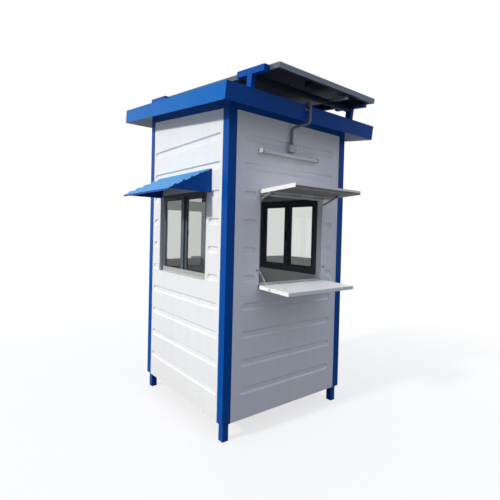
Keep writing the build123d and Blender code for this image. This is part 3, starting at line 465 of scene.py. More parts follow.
def softened_copy(name, radius):
    """A merged copy of a solid, with every sharp bend rounded."""
    mesh = merged_copy(name)
    round_rims(mesh, [rim for rim in mesh.edges if rim.calc_face_angle(0.0) > radians(SHARP_BEND)], radius)
    return mesh


def place_piece(name, mesh, finishes, redraws=(), body="cabin", smooth=40):
    """Turns a bmesh into a finished piece that rides on a body."""
    data = bpy.data.meshes.new(name)
    bmesh.ops.recalc_face_normals(mesh, faces=mesh.faces)
    for face in mesh.faces:
        face.smooth = True
    for rim in mesh.edges:
        rim.smooth = rim.calc_face_angle(0.0) < radians(smooth)
    mesh.to_mesh(data)
    mesh.free()
    for finish in finishes:
        data.materials.append(finish)
    piece = put_in_scene(name, data)
    flat_faces = piece.modifiers.new("flat_faces_stay_flat", "WEIGHTED_NORMAL")
    flat_faces.keep_sharp = True
    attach(piece, body)
    if redraws:
        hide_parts(*redraws)
    print(name, len(data.polygons), "faces")


def give_second(mesh, takes_it):
    """Gives the second finish to the faces that pass a test, and the first to the others."""
    for face in mesh.faces:
        face.material_index = 1 if takes_it(face) else 0


def redraw(name, solid, radius, finish, body="cabin"):
    """Redraws one solid with rounded edges and a single finish."""
    place_piece(name, softened_copy(solid, radius), [finish], [solid], body)


def join_turned(mesh, added, place):
    """Turns a second bmesh to its place and adds it to the first."""
    bmesh.ops.transform(added, matrix=place, verts=added.verts)
    data = bpy.data.meshes.new("added")
    added.to_mesh(data)
    added.free()
    mesh.from_mesh(data)
    bpy.data.meshes.remove(data)


print("bends over", SHARP_BEND, "degrees are rounded")

# %% [markdown]
# ## Posts, rails and corner trims
#
# The frame is square steel tube, whose corners are rolled to a radius of about 2 mm. The trims
# over the corners are sheet folded on a press brake, with a tighter bend. Both start from their
# solids.

# %% The welded frame and its trims
TUBE_CORNER = 2.2 * MM
SHEET_FOLD = 0.8 * MM
redraw("posts_and_feet", "corner_posts", TUBE_CORNER, blue_enamel)
redraw("folded_corner_trims", "corner_trims", SHEET_FOLD, blue_enamel)
redraw("ring_of_top_rails", "top_rails", TUBE_CORNER, blue_enamel)

# %% [markdown]
# ## Rivets of the corner trims
#
# Each folded trim is held by blind rivets in two rows. A blind rivet has a low domed head of
# about 8 mm, which is a squashed ball half sunk in the sheet here. The heads are painted over
# with the trim.

# %% Rows of blind rivets
RIVET_RADIUS = 4 * MM
RIVET_ROW = 52 * MM
FIRST_RIVET = 200 * MM
RIVET_PITCH = 390 * MM
RIVETS_IN_ROW = 6
trim_low, trim_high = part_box("corner_trims")


def rivet(mesh, point, outwards, radius=RIVET_RADIUS):
    """A domed rivet head on a surface that faces outwards."""
    turn = Vector(outwards).to_track_quat("Z", "Y").to_matrix().to_4x4()
    squash = Matrix.Diagonal((1.0, 1.0, 0.4, 1.0))
    bmesh.ops.create_uvsphere(
        mesh, u_segments=12, v_segments=6, radius=radius, matrix=Matrix.Translation(point) @ turn @ squash,
    )


rivets = bmesh.new()
for x, inward_x in ((trim_low.x, 1), (trim_high.x, -1)):
    for y, inward_y in ((trim_low.y, 1), (trim_high.y, -1)):
        for step in range(RIVETS_IN_ROW):
            z = FIRST_RIVET + step * RIVET_PITCH
            rivet(rivets, (x + inward_x * RIVET_ROW, y, z), (0, -inward_y, 0))
            rivet(rivets, (x, y + inward_y * RIVET_ROW, z), (-inward_x, 0, 0))
place_piece("trim_rivets", rivets, [blue_enamel])

# %% [markdown]
# ## The roof tray
#
# The fascias are folded sheet. They are enamelled blue outside, while their inner faces keep the
# light galvanised finish, which shows under the eaves. So each face of the copied solid is
# given one of two finishes by whether it looks towards the middle of the roof.

# %% Fascias, light inside
FASCIA_FOLD = 0.9 * MM
roof_low, roof_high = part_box("roof_panel")
roof_middle = (roof_low + roof_high) / 2


def looks_in(face):
    """True where a face looks towards the middle of the roof."""
    inward = roof_middle - face.calc_center_median()
    along = abs(face.normal.y) > 0.9 and face.normal.y * inward.y > 0
    return along or face.normal.x * inward.x > 0.2


# The side fascias take the lighter blue, which is partly painted sunlight, and the front and back fascias keep the
# deeper post blue, which stands for their shade.
for name, solid_name, coat in (
    ("front_and_back_fascias", "end_fascias", blue_enamel),
    ("left_and_right_fascias", "side_fascias", lighter_coat_and_painted_sun),
):
    fascia = softened_copy(solid_name, FASCIA_FOLD)
    give_second(fascia, looks_in)
    place_piece(name, fascia, [coat, lining_grey], [solid_name])

# %% [markdown]
# ## The ribbed roof
#
# Inside the fascias lies an insulated roof panel, a blue sheet whose ribs run down the slope,
# light underneath. The ribs are laid out as for a level roof, whose corner is at zero, and then
# turned to the slope together. The roof's corner is where the front and left rails meet.

# %% Ribbed roof sheet
RIB_COUNT = 8
RIB_PITCH = 190 * MM
RIB_HALF_WIDTH = 16 * MM
RIB_FRONT, RIB_BACK = -160 * MM, 1466 * MM
RIB_FOOT, RIB_TOP = 99 * MM, 108 * MM
rail_low, rail_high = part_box("top_rails")
ROOF_PLACE = Matrix.Translation(rail_low) @ Matrix.Rotation(ROOF_SLOPE, 4, "X")
roof_centre_across = (rail_high.x - rail_low.x) / 2

roof_sheet = merged_copy("roof_panel")
ribs = bmesh.new()
for rib in range(RIB_COUNT):
    across = roof_centre_across + (rib - (RIB_COUNT - 1) / 2) * RIB_PITCH
    block(
        ribs, (across - RIB_HALF_WIDTH, RIB_FRONT, RIB_FOOT),
        (across + RIB_HALF_WIDTH, RIB_BACK, RIB_TOP), 4 * MM, 3,
    )
join_turned(roof_sheet, ribs, ROOF_PLACE)
give_second(roof_sheet, lambda face: face.normal.z < -0.5)
place_piece("ribbed_roof_sheet", roof_sheet, [blue_enamel, lining_grey], ["roof_panel"])

# %% [markdown]
# ## The awning
#
# The awning over the left window is one blue sheet with shallow pressed ribs that run along it,
# and its outer edge is folded down. A strip of the section is a chain of edges, which is drawn
# out along the awning with one extrude. Solidify then gives the sheet its thickness.

# %% The awning's section
AWNING_SHEET = 1.5 * MM
AWNING_LIP = 14 * MM
RIB_HEIGHT = 7 * MM
AWNING_RIBS = 5
FIRST_RIB = 0.02
RIB_SHARE = 0.19
awning_low, awning_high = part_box("awning_roof")
wall_edge = Vector((awning_high.x, awning_low.y, awning_high.z - AWNING_SHEET))
outer_edge = Vector((awning_low.x + AWNING_SHEET, awning_low.y, awning_low.z + AWNING_LIP - AWNING_SHEET))
slope_run = outer_edge - wall_edge
sheet_up = Vector((slope_run.z, 0.0, -slope_run.x)).normalized()

section = [wall_edge]
for rib in range(AWNING_RIBS):
    for share, rise in ((0.02, 0), (0.05, RIB_HEIGHT), (0.085, RIB_HEIGHT), (0.115, 0)):
        section.append(wall_edge + slope_run * (FIRST_RIB + rib * RIB_SHARE + share) + sheet_up * rise)
section.append(outer_edge)
section.append(outer_edge + Vector((0, 0, -12)) * MM)
section.append(outer_edge + Vector((8, 0, -12)) * MM)
print("awning section", len(section), "points, slope", round(slope_run.length, 3), "m")

# %% Ribbed awning sheet
awning = bmesh.new()
chain = [awning.verts.new(point) for point in section]
steps = [awning.edges.new(pair) for pair in zip(chain, chain[1:])]
drawn = bmesh.ops.extrude_edge_only(awning, edges=steps)
moved = [part for part in drawn["geom"] if isinstance(part, bmesh.types.BMVert)]
bmesh.ops.translate(awning, verts=moved, vec=(0.0, awning_high.y - awning_low.y, 0.0))
bmesh.ops.recalc_face_normals(awning, faces=awning.faces)
bmesh.ops.solidify(awning, geom=awning.faces, thickness=AWNING_SHEET)
# The faces that look up take the lighter blue, a painted sky glare; the faces that look down keep the post blue.
give_second(awning, lambda face: face.normal.z <= 0.0)
place_piece("ribbed_awning_sheet", awning, [painted_glare_blue, blue_enamel], ["awning_roof"])

# %% Awning cheeks and their wall flanges
FLANGE_WIDTH = 24 * MM
FLANGE_SHEET = 1.6 * MM
FLANGE_RIVET = 3.2 * MM
cheeks = softened_copy("awning_cheeks", SHEET_FOLD)
cheek_low, cheek_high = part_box("awning_cheeks")
flange_x = cheek_high.x - FLANGE_SHEET
for y, inward in ((cheek_low.y, 1), (cheek_high.y, -1)):
    block(
        cheeks, (flange_x, y, cheek_low.z + 4 * MM),
        (cheek_high.x, y + inward * FLANGE_WIDTH, cheek_high.z - 8 * MM), 0.5 * MM,
    )
    for share in (0.22, 0.5, 0.78):
        z = cheek_low.z + share * (cheek_high.z - cheek_low.z)
        rivet(cheeks, (flange_x, y + inward * 13 * MM, z), (-1, 0, 0), FLANGE_RIVET)
place_piece("awning_cheeks_and_flanges", cheeks, [blue_enamel], ["awning_cheeks"])

# %% [markdown]
# ## The flap and the counter
#
# Both are painted steel: the flap is a shallow tray of thin sheet, and the counter is a hollow
# board with a folded rim. A fold has a radius of about the sheet's thickness, so the copies are
# softened by that. The flap also has a stiffening channel underneath, which the solid leaves out.
# It is laid out flat, from the hinge, and turned to the flap's rise. The faces that look down
# take a darker grey, which is painted shade under the raised flap.

# %% Flap with its stiffener
FLAP_RISE = radians(3.5)
STIFFENER_INSET = 60 * MM
STIFFENER_NEAR, STIFFENER_FAR = -190 * MM, -225 * MM
STIFFENER_LOW, STIFFENER_HIGH = 10 * MM, 18.2 * MM
hinge_of = {joint["name"]: Vector(joint["pos_m"]) for joint in frame["joints"]}
flap_hinge = hinge_of["flap_hinge"]
FLAP_PLACE = Matrix.Translation((0.0, flap_hinge.y, flap_hinge.z)) @ Matrix.Rotation(-FLAP_RISE, 4, "X")
flap_low, flap_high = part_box("hatch_flap")

flap = softened_copy("hatch_flap", 0.9 * MM)
stiffener = bmesh.new()
block(
    stiffener, (flap_low.x + STIFFENER_INSET, STIFFENER_FAR, STIFFENER_LOW),
    (flap_high.x - STIFFENER_INSET, STIFFENER_NEAR, STIFFENER_HIGH), 2 * MM,
)
join_turned(flap, stiffener, FLAP_PLACE)
# Painted shade: the faces that look down take the darker grey.
give_second(flap, lambda face: face.normal.z < -0.5)
place_piece("folded_flap", flap, [hatch_white, flap_underside_painted_shade], ["hatch_flap"], "flap")

# %% Counter board
redraw("folded_counter", "counter_shelf", 1.6 * MM, hatch_white, "shelf")

# %% [markdown]
# ## Stays and knobs
#
# The flap's two stays are flat zinc plated bars with filed edges. The clamp knob on each stud is
# moulded nylon with grip flutes, which is a short bar whose sides are pulled in at every other
# edge.

# %% Stays
for side in ("left", "right"):
    redraw(f"flat_stay_{side}", f"flap_stay_{side}", 0.5 * MM, zinc_plate, f"stay_{side}")

# %% Fluted knobs
KNOB_LENGTH = 9 * MM
FLUTE = 0.86
knob_low, knob_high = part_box("stay_knobs")
knob_middle = (knob_low + knob_high) / 2
knobs = bmesh.new()
for start_x, inward in ((knob_low.x, 1), (knob_high.x, -1)):
    centre = Vector((start_x + inward * KNOB_LENGTH / 2, knob_middle.y, knob_middle.z))
    made = bmesh.ops.create_cone(
        knobs, cap_ends=True, segments=24, radius1=8 * MM, radius2=7.2 * MM, depth=KNOB_LENGTH,
        matrix=Matrix.Translation(centre) @ Matrix.Rotation(inward * pi / 2, 4, "Y"),
    )
    for number, corner in enumerate(made["verts"]):
        if (number // 2) % 2:
            corner.co.y = knob_middle.y + (corner.co.y - knob_middle.y) * FLUTE
            corner.co.z = knob_middle.z + (corner.co.z - knob_middle.z) * FLUTE
place_piece("fluted_knobs", knobs, [black_nylon], ["stay_knobs"], "flap", smooth=25)

# %% [markdown]
# ## Windows
#
# A sliding window is two sashes in two tracks. What gives it away up close are the black rubber
# gaskets round each pane, the pale aluminium track at the bottom and the crescent latch on the
# meeting stile. The frames and sashes are softened copies, and thin frames of rubber are laid
# round the glass on both faces. One solid holds all the panes, so a flood fill along its edges
# finds each loose pane and its two corners.

# %% Window frames and sashes
for side in ("left", "right"):
    for part in ("frame", "sashes"):
        redraw(
            f"{side}_window_{part}_profiles", f"{side}_window_{part}", 0.9 * MM, slate_coat,
        )


# %% Helpers for frames and loose parts
def frame_ring(mesh, low, high, axis, width, edge, segments=1):
    """Four thin bars round a rectangle that is flat along one axis."""
    first, second = [i for i in range(3) if i != axis]
    for fixed, along in ((first, second), (second, first)):
        for at_high in (False, True):
            bar_low, bar_high = list(low), list(high)
            if at_high:
                bar_low[fixed] = high[fixed] - width
            else:
                bar_high[fixed] = low[fixed] + width
            if fixed == second:
                bar_low[along] = low[along] + width
                bar_high[along] = high[along] - width
            block(mesh, bar_low, bar_high, edge, segments)


def islands(name):
    """The lowest and highest corner of each loose part of a solid."""
    mesh = merged_copy(name)
    left_over = set(mesh.verts)
    found = []
    while left_over:
        group, waiting = set(), [left_over.pop()]
        while waiting:
            corner = waiting.pop()
            group.add(corner)
            others = {rim.other_vert(corner) for rim in corner.link_edges} & left_over
            left_over -= others
            waiting.extend(others)
        low = Vector([min(corner.co[i] for corner in group) for i in range(3)])
        high = Vector([max(corner.co[i] for corner in group) for i in range(3)])
        found.append((low, high))
    mesh.free()
    return sorted(found, key=lambda pair: tuple(pair[0]))


print("door panes", len(islands("door_glass")))

# %% Gaskets round the glass
GASKET_WIDTH = 5 * MM
WINDOW_LIP = 3 * MM
DOOR_LIP = 6 * MM
gaskets = bmesh.new()
for name, axis, lip in (
    ("left_window_glass", 0, WINDOW_LIP), ("right_window_glass", 0, WINDOW_LIP), ("door_glass", 1, DOOR_LIP),
):
    for pane_low, pane_high in islands(name):
        for face, outwards in ((pane_low[axis], -1), (pane_high[axis], 1)):
            ring_low, ring_high = pane_low.copy(), pane_high.copy()
            ring_low[axis], ring_high[axis] = face, face + outwards * lip
            frame_ring(gaskets, ring_low, ring_high, axis, GASKET_WIDTH, 0.8 * MM)
place_piece("glazing_gaskets", gaskets, [black_rubber])

# %% Bottom tracks outside the sashes
FRAME_FLANGE = 16 * MM
TRACK_DEPTH = 14 * MM
UPSTAND = 3 * MM
tracks = bmesh.new()
for side, outwards in (("left", -1), ("right", 1)):
    frame_low, frame_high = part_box(f"{side}_window_frame")
    outer_x = frame_low.x if outwards < 0 else frame_high.x
    start_y = frame_low.y + FRAME_FLANGE + 2 * MM
    end_y = frame_high.y - FRAME_FLANGE - 36 * MM
    sill_z = frame_low.z + FRAME_FLANGE
    block(
        tracks, (outer_x, start_y, sill_z + 0.5 * MM),
        (outer_x + outwards * TRACK_DEPTH, end_y, sill_z + 8 * MM), 1.2 * MM,
    )
    block(
        tracks, (outer_x, start_y, sill_z + 6 * MM),
        (outer_x + outwards * UPSTAND, end_y, sill_z + 44 * MM), 1 * MM,
    )
place_piece("bottom_tracks", tracks, [sill_aluminium])

# %% Crescent latches on the meeting stiles
LATCH_PLATE = 5 * MM
latches = bmesh.new()
for latch_low, latch_high in islands("window_latches"):
    middle = (latch_low + latch_high) / 2
    inwards = 1 if middle.x < roof_middle.x else -1
    stile_x = latch_low.x if inwards > 0 else latch_high.x
    plate_x = stile_x + inwards * LATCH_PLATE
    block(latches, (stile_x, latch_low.y, latch_low.z), (plate_x, latch_high.y, latch_high.z), 2 * MM, 3)
    rod(latches, (plate_x, middle.y, middle.z), (inwards * 8 * MM, 0, 0), 7 * MM, 24, 1.5 * MM)
    block(
        latches, (plate_x + inwards * 3 * MM, middle.y - 5 * MM, middle.z),
        (plate_x + inwards * 12 * MM, middle.y + 5 * MM, middle.z + 42 * MM), 3 * MM, 3,
    )
place_piece("crescent_latches", latches, [black_nylon], ["window_latches"])

# %% [markdown]
# ## Linings and hinge screws of the hatch
#
# The opening is lined with folded white sheet, and screws hold the hinge leaves. A screw head is
# a low disc with a rounded rim, too small here to show more than its shine.

# %% Hatch linings
redraw("hatch_side_linings", "hatch_jambs", 0.7 * MM, hatch_white)
redraw("hatch_head_and_sill_linings", "hatch_head_and_sill", 0.7 * MM, hatch_white)

# %% Hinge screws
HINGE_SCREW = 3.4 * MM
SCREW_PITCH = 101.6 * MM
SCREWS_IN_LEAF = 7
LEAF_SHEET = 2 * MM
leaves_low, leaves_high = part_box("hatch_hinges")
leaf_face = leaves_high.y - LEAF_SHEET
screws = bmesh.new()
for leaf_z in (flap_hinge.z + 9 * MM, hinge_of["shelf_hinge"].z - 9 * MM):
    for step in range(SCREWS_IN_LEAF):
        x = leaves_low.x + 30 * MM + step * SCREW_PITCH
        rod(screws, (x, leaf_face, leaf_z), (0, -1.1 * MM, 0), HINGE_SCREW, 16, 0.4 * MM)
place_piece("hinge_screws", screws, [zinc_plate])

# %% [markdown]
# ## The door
#
# The door is a folded steel leaf in a slate aluminium frame. Two raised mouldings stiffen its
# lower half, a rubber seal fills the gap round it, and the hinges show their knuckles. The lever
# handle is cast zinc, so its edges are well rounded.

# %% Door leaf, frame and seal
MOULDING_INSET = 75 * MM
MOULDING_WIDTH = 14 * MM
SEAL = 4 * MM
leaf_low, leaf_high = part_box("door_leaf")
leaf = softened_copy("door_leaf", 1.2 * MM)
for bottom, top in ((70 * MM, 410 * MM), (430 * MM, 870 * MM)):
    frame_ring(
        leaf, (leaf_low.x + MOULDING_INSET, leaf_high.y - 0.5 * MM, leaf_low.z + bottom),
        (leaf_high.x - MOULDING_INSET, leaf_high.y + 4 * MM, leaf_low.z + top), 1, MOULDING_WIDTH, 2 * MM,
    )
place_piece("folded_door_leaf", leaf, [wall_white], ["door_leaf"])
redraw("door_frame_profiles", "door_frame", 1 * MM, slate_coat)

seal = bmesh.new()
frame_ring(
    seal, (leaf_low.x - SEAL, leaf_high.y - 10 * MM, leaf_low.z - SEAL),
    (leaf_high.x + SEAL, leaf_high.y - 3 * MM, leaf_high.z + SEAL), 1, SEAL, 0.5 * MM,
)
place_piece("door_seal", seal, [black_rubber])

# %% Door hinges with knuckles
KNUCKLES = 3
KNUCKLE_RADIUS = 5 * MM
KNUCKLE_GAP = 0.4 * MM
hinges = bmesh.new()
for plate_low, plate_high in islands("door_hinges"):
    middle = (plate_low + plate_high) / 2
    pin_y = plate_low.y + 4 * MM
    for start_x, end_x in ((plate_low.x, middle.x - 1 * MM), (middle.x + 1 * MM, plate_high.x)):
        block(hinges, (start_x, plate_low.y, plate_low.z), (end_x, pin_y - 1 * MM, plate_high.z), 0.8 * MM)
    length = (plate_high.z - plate_low.z) / KNUCKLES
    for knuckle in range(KNUCKLES):
        start_z = plate_low.z + knuckle * length
        run = (0, 0, length - 2 * KNUCKLE_GAP)
        rod(hinges, (middle.x, pin_y, start_z + KNUCKLE_GAP), run, KNUCKLE_RADIUS, 20, 0.6 * MM)
    for x in (plate_low.x + 8 * MM, plate_high.x - 8 * MM):
        for z in (plate_low.z + 16 * MM, plate_high.z - 16 * MM):
            rod(hinges, (x, pin_y - 1.2 * MM, z), (0, 1.2 * MM, 0), 3.5 * MM, 16, 0.4 * MM)
place_piece("door_butt_hinges", hinges, [zinc_plate], ["door_hinges"])

# %% Lever handle
LOCK_BELOW_LEVER = 70 * MM
handle_low, handle_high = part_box("door_handle")
spindle_x = handle_high.x - 20 * MM
back_y = handle_low.y
lever_z = (handle_low.z + handle_high.z) / 2 + 30 * MM
lock_z = lever_z - LOCK_BELOW_LEVER
handle = bmesh.new()
block(
    handle, (handle_high.x - 40 * MM, back_y, handle_low.z), (handle_high.x, back_y + 8 * MM, handle_high.z),
    3 * MM, 3,
)
rod(handle, (spindle_x, back_y + 6 * MM, lever_z), (0, 38 * MM, 0), 9 * MM, 24, 2 * MM)
block(
    handle, (handle_low.x, back_y + 36 * MM, lever_z - 10 * MM),
    (spindle_x + 10 * MM, back_y + 50 * MM, lever_z + 10 * MM), 5 * MM, 4,
)
rod(handle, (spindle_x, back_y + 7 * MM, lock_z), (0, 7 * MM, 0), 10 * MM, 24, 1 * MM)
place_piece("cast_lever_handle", handle, [zinc_plate], ["door_handle"])

# %% [markdown]
# ## The solar panel and its stands
#
# The stands are square tube and angle, enamelled blue. Each stands on a base plate with bolts,
# and small clamps grip the panel's frame. These are built in the level roof's plane, where they
# are square, and then turned to the slope together.

# %% Stands
redraw("stands_of_square_tube", "panel_stands", 1.6 * MM, blue_enamel)
STAND_HALF_WIDTH = 19 * MM
stands_low, stands_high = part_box("panel_stands")
STAND_ACROSS = (stands_low.x + STAND_HALF_WIDTH - rail_low.x, stands_high.x - STAND_HALF_WIDTH - rail_low.x)
STAND_ALONG = (-92 * MM, 1291 * MM)
print("stands across", [round(across, 3) for across in STAND_ACROSS])

# %% Base plates and bolts
ROOF_TOP = 100 * MM
PLATE = 5 * MM
HALF_WIDTH, HALF_LENGTH = 40 * MM, 46 * MM
BOLT_INSET = 10 * MM
plates = bmesh.new()
for across in STAND_ACROSS:
    for along in STAND_ALONG:
        block(
            plates, (across - HALF_WIDTH, along - HALF_LENGTH, ROOF_TOP),
            (across + HALF_WIDTH, along + HALF_LENGTH, ROOF_TOP + PLATE), 1.2 * MM,
        )
        for x in (across - HALF_WIDTH + BOLT_INSET, across + HALF_WIDTH - BOLT_INSET):
            for y in (along - HALF_LENGTH + BOLT_INSET, along + HALF_LENGTH - BOLT_INSET):
                rod(plates, (x, y, ROOF_TOP + 4 * MM), (0, 0, 7 * MM), 6 * MM, 6, 0.6 * MM)
bmesh.ops.transform(plates, matrix=ROOF_PLACE, verts=plates.verts)
place_piece("stand_base_plates", plates, [blue_enamel])

# %% Clamps of the panel
BOLT_LOW, CLAMP_LOW, CLAMP_HIGH = 240 * MM, 250.5 * MM, 253.5 * MM
CLAMP_OFFSET = 90 * MM
CLAMP_REACH = 32 * MM
clamps = bmesh.new()
for across, towards in zip(STAND_ACROSS, (1, -1)):
    bolt_x = across + towards * 6 * MM
    for along in STAND_ALONG:
        for y in (along - CLAMP_OFFSET, along + CLAMP_OFFSET):
            block(
                clamps, (across, y - 20 * MM, CLAMP_LOW),
                (across + towards * CLAMP_REACH, y + 20 * MM, CLAMP_HIGH), 0.8 * MM,
            )
            rod(clamps, (bolt_x, y, BOLT_LOW), (0, 0, 13.9 * MM), 4 * MM, 6, 0.6 * MM)
bmesh.ops.transform(clamps, matrix=ROOF_PLACE, verts=clamps.verts)
place_piece("panel_clamps", clamps, [frame_aluminium])

# %% Panel frame, cells and back sheet
redraw("extruded_panel_frame", "panel_frame", 0.9 * MM, frame_aluminium)
laminate = merged_copy("panel_laminate")
# Faces that don't look up take the dark back sheet, which is painted shade.
give_second(laminate, lambda face: face.normal.z <= 0.5)
place_piece("laminate_of_cells", laminate, [cell_glass, panel_rear_shade], ["panel_laminate"])

# %% Junction box with its glands
GLAND_RADIUS = 8 * MM
box_corner = Vector((485, -270, 226)) * MM
box_far = Vector((615, -180, 248)) * MM
lid_corner = box_corner + Vector((10, 10, -2.5)) * MM
lid_far = (box_far.x - 10 * MM, box_far.y - 10 * MM, box_corner.z + 2 * MM)
gland_z = box_corner.z + 10 * MM
junction_box = bmesh.new()
block(junction_box, box_corner, box_far, 3 * MM, 3)
block(junction_box, lid_corner, lid_far, 1.5 * MM)
for x in (box_corner.x + 30 * MM, box_far.x - 30 * MM):
    rod(junction_box, (x, box_far.y - 3 * MM, gland_z), (0, 23 * MM, 0), GLAND_RADIUS, 18, 1.5 * MM)
bmesh.ops.transform(junction_box, matrix=ROOF_PLACE, verts=junction_box.verts)
place_piece("moulded_junction_box", junction_box, [black_nylon], ["panel_junction_box"])

# %% Cross rails and the cable duct
# The rails take the dark aluminium, which is painted shade under the panel.
redraw("rails_under_panel", "panel_rails", 2 * MM, rail_painted_shade)
redraw("cable_duct_cover", "cable_duct", 1.5 * MM, sill_aluminium)

# %% [markdown]
# ## Conduit, box and lamp
#
# A grey PVC conduit climbs from a small box on the wall, turns out under the eaves and goes up
# over the fascia. Real conduit enters a box through a gland with a nut, and a saddle with two
# screws holds it on the fascia. The lamp is a slim batten with a tube, whose ends sit in grey
# caps.

# %% Gland and nut of the conduit
STAND_OFF = 16 * MM
PIPE_RADIUS = 10 * MM
box_low, box_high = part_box("wall_box")
pipe_low, pipe_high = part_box("conduit")
pipe_x = (pipe_low.x + pipe_high.x) / 2
wall_pipe_y = box_high.y - STAND_OFF
fascia_pipe_y = pipe_low.y + PIPE_RADIUS
fittings = bmesh.new()
rod(fittings, (pipe_x, wall_pipe_y, box_high.z - 2 * MM), (0, 0, 24 * MM), 13 * MM, 24, 1.5 * MM)
rod(fittings, (pipe_x, wall_pipe_y, box_high.z + 4 * MM), (0, 0, 7 * MM), 15.5 * MM, 6, 1 * MM)
print("gland and nut", len(fittings.faces), "faces")

# %% Saddle on the fascia
SADDLE_HEIGHT = 18 * MM
saddle_low = pipe_high.z - 69 * MM
saddle_high = saddle_low + SADDLE_HEIGHT
saddle_back = fascia_pipe_y + 15.9 * MM
saddle_face = saddle_back - 3 * MM
block(
    fittings, (pipe_x - 32 * MM, saddle_face, saddle_low),
    (pipe_x + 32 * MM, saddle_back, saddle_high), 1 * MM,
)
rod(fittings, (pipe_x, fascia_pipe_y, saddle_low), (0, 0, SADDLE_HEIGHT), 12.2 * MM, 28, 0.8 * MM)
screw_z = (saddle_low + saddle_high) / 2
for x in (pipe_x - 23 * MM, pipe_x + 23 * MM):
    rod(fittings, (x, saddle_face, screw_z), (0, -2.5 * MM, 0), 4 * MM, 16, 0.8 * MM)
place_piece("conduit_fittings", fittings, [grey_pvc])

# %% Wall box with a lid
LID_OVERLAP = 1.5 * MM
SCREW_INSET = 7 * MM
wall_box = bmesh.new()
block(wall_box, box_low, box_high, 3 * MM, 3)
block(
    wall_box, (box_low.x - LID_OVERLAP, box_low.y - 2 * MM, box_low.z - LID_OVERLAP),
    (box_high.x + LID_OVERLAP, box_low.y + 6 * MM, box_high.z + LID_OVERLAP), 2 * MM, 3,
)
for x in (box_low.x + SCREW_INSET, box_high.x - SCREW_INSET):
    for z in (box_low.z + SCREW_INSET, box_high.z - SCREW_INSET):
        rod(wall_box, (x, box_low.y - 1.5 * MM, z), (0, -1.5 * MM, 0), 2.6 * MM, 14, 0.4 * MM)
place_piece("moulded_wall_box", wall_box, [pale_plastic], ["wall_box"])

# %% Lamp batten with its end caps
CAP_LENGTH = 26 * MM
CAP_HALF_HEIGHT = 15 * MM
base_low, base_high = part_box("lamp_base")
tube_low, tube_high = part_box("lamp_tube")
tube_y = (tube_low.y + tube_high.y) / 2
tube_z = (tube_low.z + tube_high.z) / 2
batten = bmesh.new()
block(batten, base_low, base_high, 3 * MM, 3)
for end_x, cap_x in ((tube_low.x, tube_low.x + CAP_LENGTH), (tube_high.x, tube_high.x - CAP_LENGTH)):
    block(
        batten, (end_x, tube_low.y + 1 * MM, tube_z - CAP_HALF_HEIGHT),
        (cap_x, base_low.y + 4 * MM, tube_z + CAP_HALF_HEIGHT), 5 * MM, 4,
    )
place_piece("lamp_batten", batten, [pale_plastic], ["lamp_base"])

# %% Opal tube of the lamp
TUBE_IN_CAP = 22 * MM
tube = bmesh.new()
tube_start = tube_low.x + TUBE_IN_CAP
rod(tube, (tube_start, tube_y, tube_z), (tube_high.x - TUBE_IN_CAP - tube_start, 0, 0), 12.5 * MM, 32, 1 * MM)
place_piece("opal_lamp_tube", tube, [opal_tube], ["lamp_tube"])

# %% [markdown]
# ## The floor
#
# The booth stands on a plain pale floor. To the camera the floor is partly white light of its
# own, and more so with the distance from the booth, so that it stays pale and runs into the
# white background but keeps the booth's shadow. To light that bounces off it, it is a darker
# grey, as real paving is, which shades the lower sides of the pressed grooves.

# %% Floor
FLOOR_MIDDLE = (0.5, 0.5, 0.0)
FLOOR_REACH = 14.0
floor_mesh = bmesh.new()
bmesh.ops.create_grid(
    floor_mesh, x_segments=8, y_segments=8, size=FLOOR_REACH, matrix=Matrix.Translation(FLOOR_MIDDLE),
)
floor_data = bpy.data.meshes.new("studio_floor")
floor_mesh.to_mesh(floor_data)
floor_mesh.free()
studio_floor = put_in_scene("studio_floor", floor_data)
print("floor", round(studio_floor.dimensions.x, 1), "m wide")

# %% Pale floor with the booth's shadow
pale_floor, floor_shader, floor_place = new_finish(
    "pale_studio_floor", "#f2f2f2", Roughness=0.9, Specular_IOR_Level=0.0,
)
seen = add_node(pale_floor, "LightPath").outputs["Is Camera Ray"]
ground_tone = add_node(
    pale_floor, "Mix", data_type="RGBA", _0=seen, _6=linear("#7b7976"), _7=linear("#f2f2f2"),
)
fill(floor_shader, Base_Color=ground_tone)
from_booth = add_node(pale_floor, "VectorMath", operation="DISTANCE", _0=floor_place, _1=FLOOR_MIDDLE)
whiteness = add_node(
    pale_floor, "MapRange", Value=from_booth, From_Min=1.2, From_Max=4.5, To_Min=0.72, To_Max=1.0,
)
seen_whiteness = add_node(pale_floor, "Math", operation="MULTIPLY", _0=whiteness, _1=seen)
plain_white = add_node(pale_floor, "Emission", Color=WHITE, Strength=1.0)
floor_mix = add_node(pale_floor, "MixShader", _0=seen_whiteness, _1=floor_shader, _2=plain_white)
fill(pale_floor.node_tree.nodes["Material Output"], Surface=floor_mix)
floor_data.materials.append(pale_floor)
print(pale_floor.name, len(pale_floor.node_tree.nodes), "nodes")

# %% [markdown]
# ## Sky and daylight
#
# A soft sun, low at the booth's left, makes that wall bright, and leaves the hatch wall in open
# shade, as in the photograph. Its height was read from the shadow that the awning casts. The sky
# gives the rest, brighter overhead than at the horizon. Camera, glossy and see-through rays meet
# plain white instead, which makes the background white without putting more light on the booth.

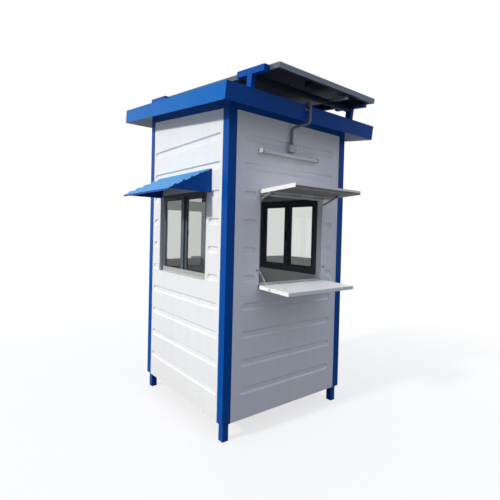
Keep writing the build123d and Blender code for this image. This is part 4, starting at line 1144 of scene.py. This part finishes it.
# %% Sky
LEVEL_AT_HORIZON = 0.28
LEVEL_OVERHEAD = 1.1
world = bpy.data.worlds.new("open_shade")
world.use_nodes = True
bpy.context.scene.world = world
direction = add_node(world, "TexCoord").outputs["Generated"]
upwards = add_node(world, "SeparateXYZ", Vector=direction).outputs["Z"]
level = add_node(world, "MapRange", Value=upwards, To_Min=LEVEL_AT_HORIZON, To_Max=LEVEL_OVERHEAD)
sky = world.node_tree.nodes["Background"]
fill(sky, Color=linear("#dce5fb"), Strength=level)
white_sky = add_node(world, "Background", Color=WHITE, Strength=1.0)
sky_rays = add_node(world, "LightPath").outputs
straight_or_glossy = add_node(
    world, "Math", operation="MAXIMUM", _0=sky_rays["Is Camera Ray"], _1=sky_rays["Is Glossy Ray"],
)
any_of_three = add_node(
    world, "Math", operation="MAXIMUM", _0=straight_or_glossy, _1=sky_rays["Is Transmission Ray"],
)
sky_mix = add_node(world, "MixShader", _0=any_of_three, _1=sky, _2=white_sky)
fill(world.node_tree.nodes["World Output"], Surface=sky_mix)
print("sky from", LEVEL_AT_HORIZON, "to", LEVEL_OVERHEAD)

# %% Low daylight
DAYLIGHT = 2.75
SUN_HEIGHT = radians(27)
daylight = bpy.data.lights.new("low_daylight", "SUN")
daylight.energy = DAYLIGHT
daylight.angle = radians(5)
daylight.color = (1.0, 0.965, 0.885)
towards_booth = Vector((cos(SUN_HEIGHT), -0.05, -sin(SUN_HEIGHT)))
put_in_scene("low_daylight", daylight).rotation_euler = towards_booth.to_track_quat("-Z", "Y").to_euler()
print("daylight", DAYLIGHT, "from", [round(v, 2) for v in -towards_booth])

# %% [markdown]
# ## The camera
#
# The camera stands where the photograph was taken from: in front and to the left, a little below
# eye height, with a lens a bit wider than normal. Its place and turn were worked out from the
# corners of the walls, the roof and the flaps, and the small shift puts the picture's middle
# where the photograph has it. The focal length was found in pixels, so it is turned to
# millimetres on the sensor.

# %% Camera at the photograph's viewpoint
PICTURE = 500
FOCAL_PIXELS = 379.54
MIDDLE_PIXEL = (241.6, 237.77)
SENSOR = 36.0
camera_data = bpy.data.cameras.new("photograph_view")
camera_data.sensor_width = SENSOR
camera_data.lens = FOCAL_PIXELS / PICTURE * SENSOR
camera_data.shift_x = (PICTURE / 2 - MIDDLE_PIXEL[0]) / PICTURE
camera_data.shift_y = (MIDDLE_PIXEL[1] - PICTURE / 2) / PICTURE
camera = put_in_scene("photograph_view", camera_data)
camera_right = Vector((0.79221, -0.60976, 0.02421))
camera_forward = Vector((0.61020, 0.79202, -0.01916))
camera_up = camera_right.cross(camera_forward).normalized()
turned = Matrix((camera_right, camera_up, -camera_forward)).transposed()
camera.rotation_euler = turned.to_euler()
camera.location = (-1.5004, -2.1001, 1.443)
bpy.context.scene.camera = camera
bpy.context.scene.view_settings.view_transform = "Standard"
print("camera", [round(v, 3) for v in camera.location])

# %% [markdown]
# ## The last update
#
# At the end the view layer is updated once more.

# %% The last update
bpy.context.view_layer.update()
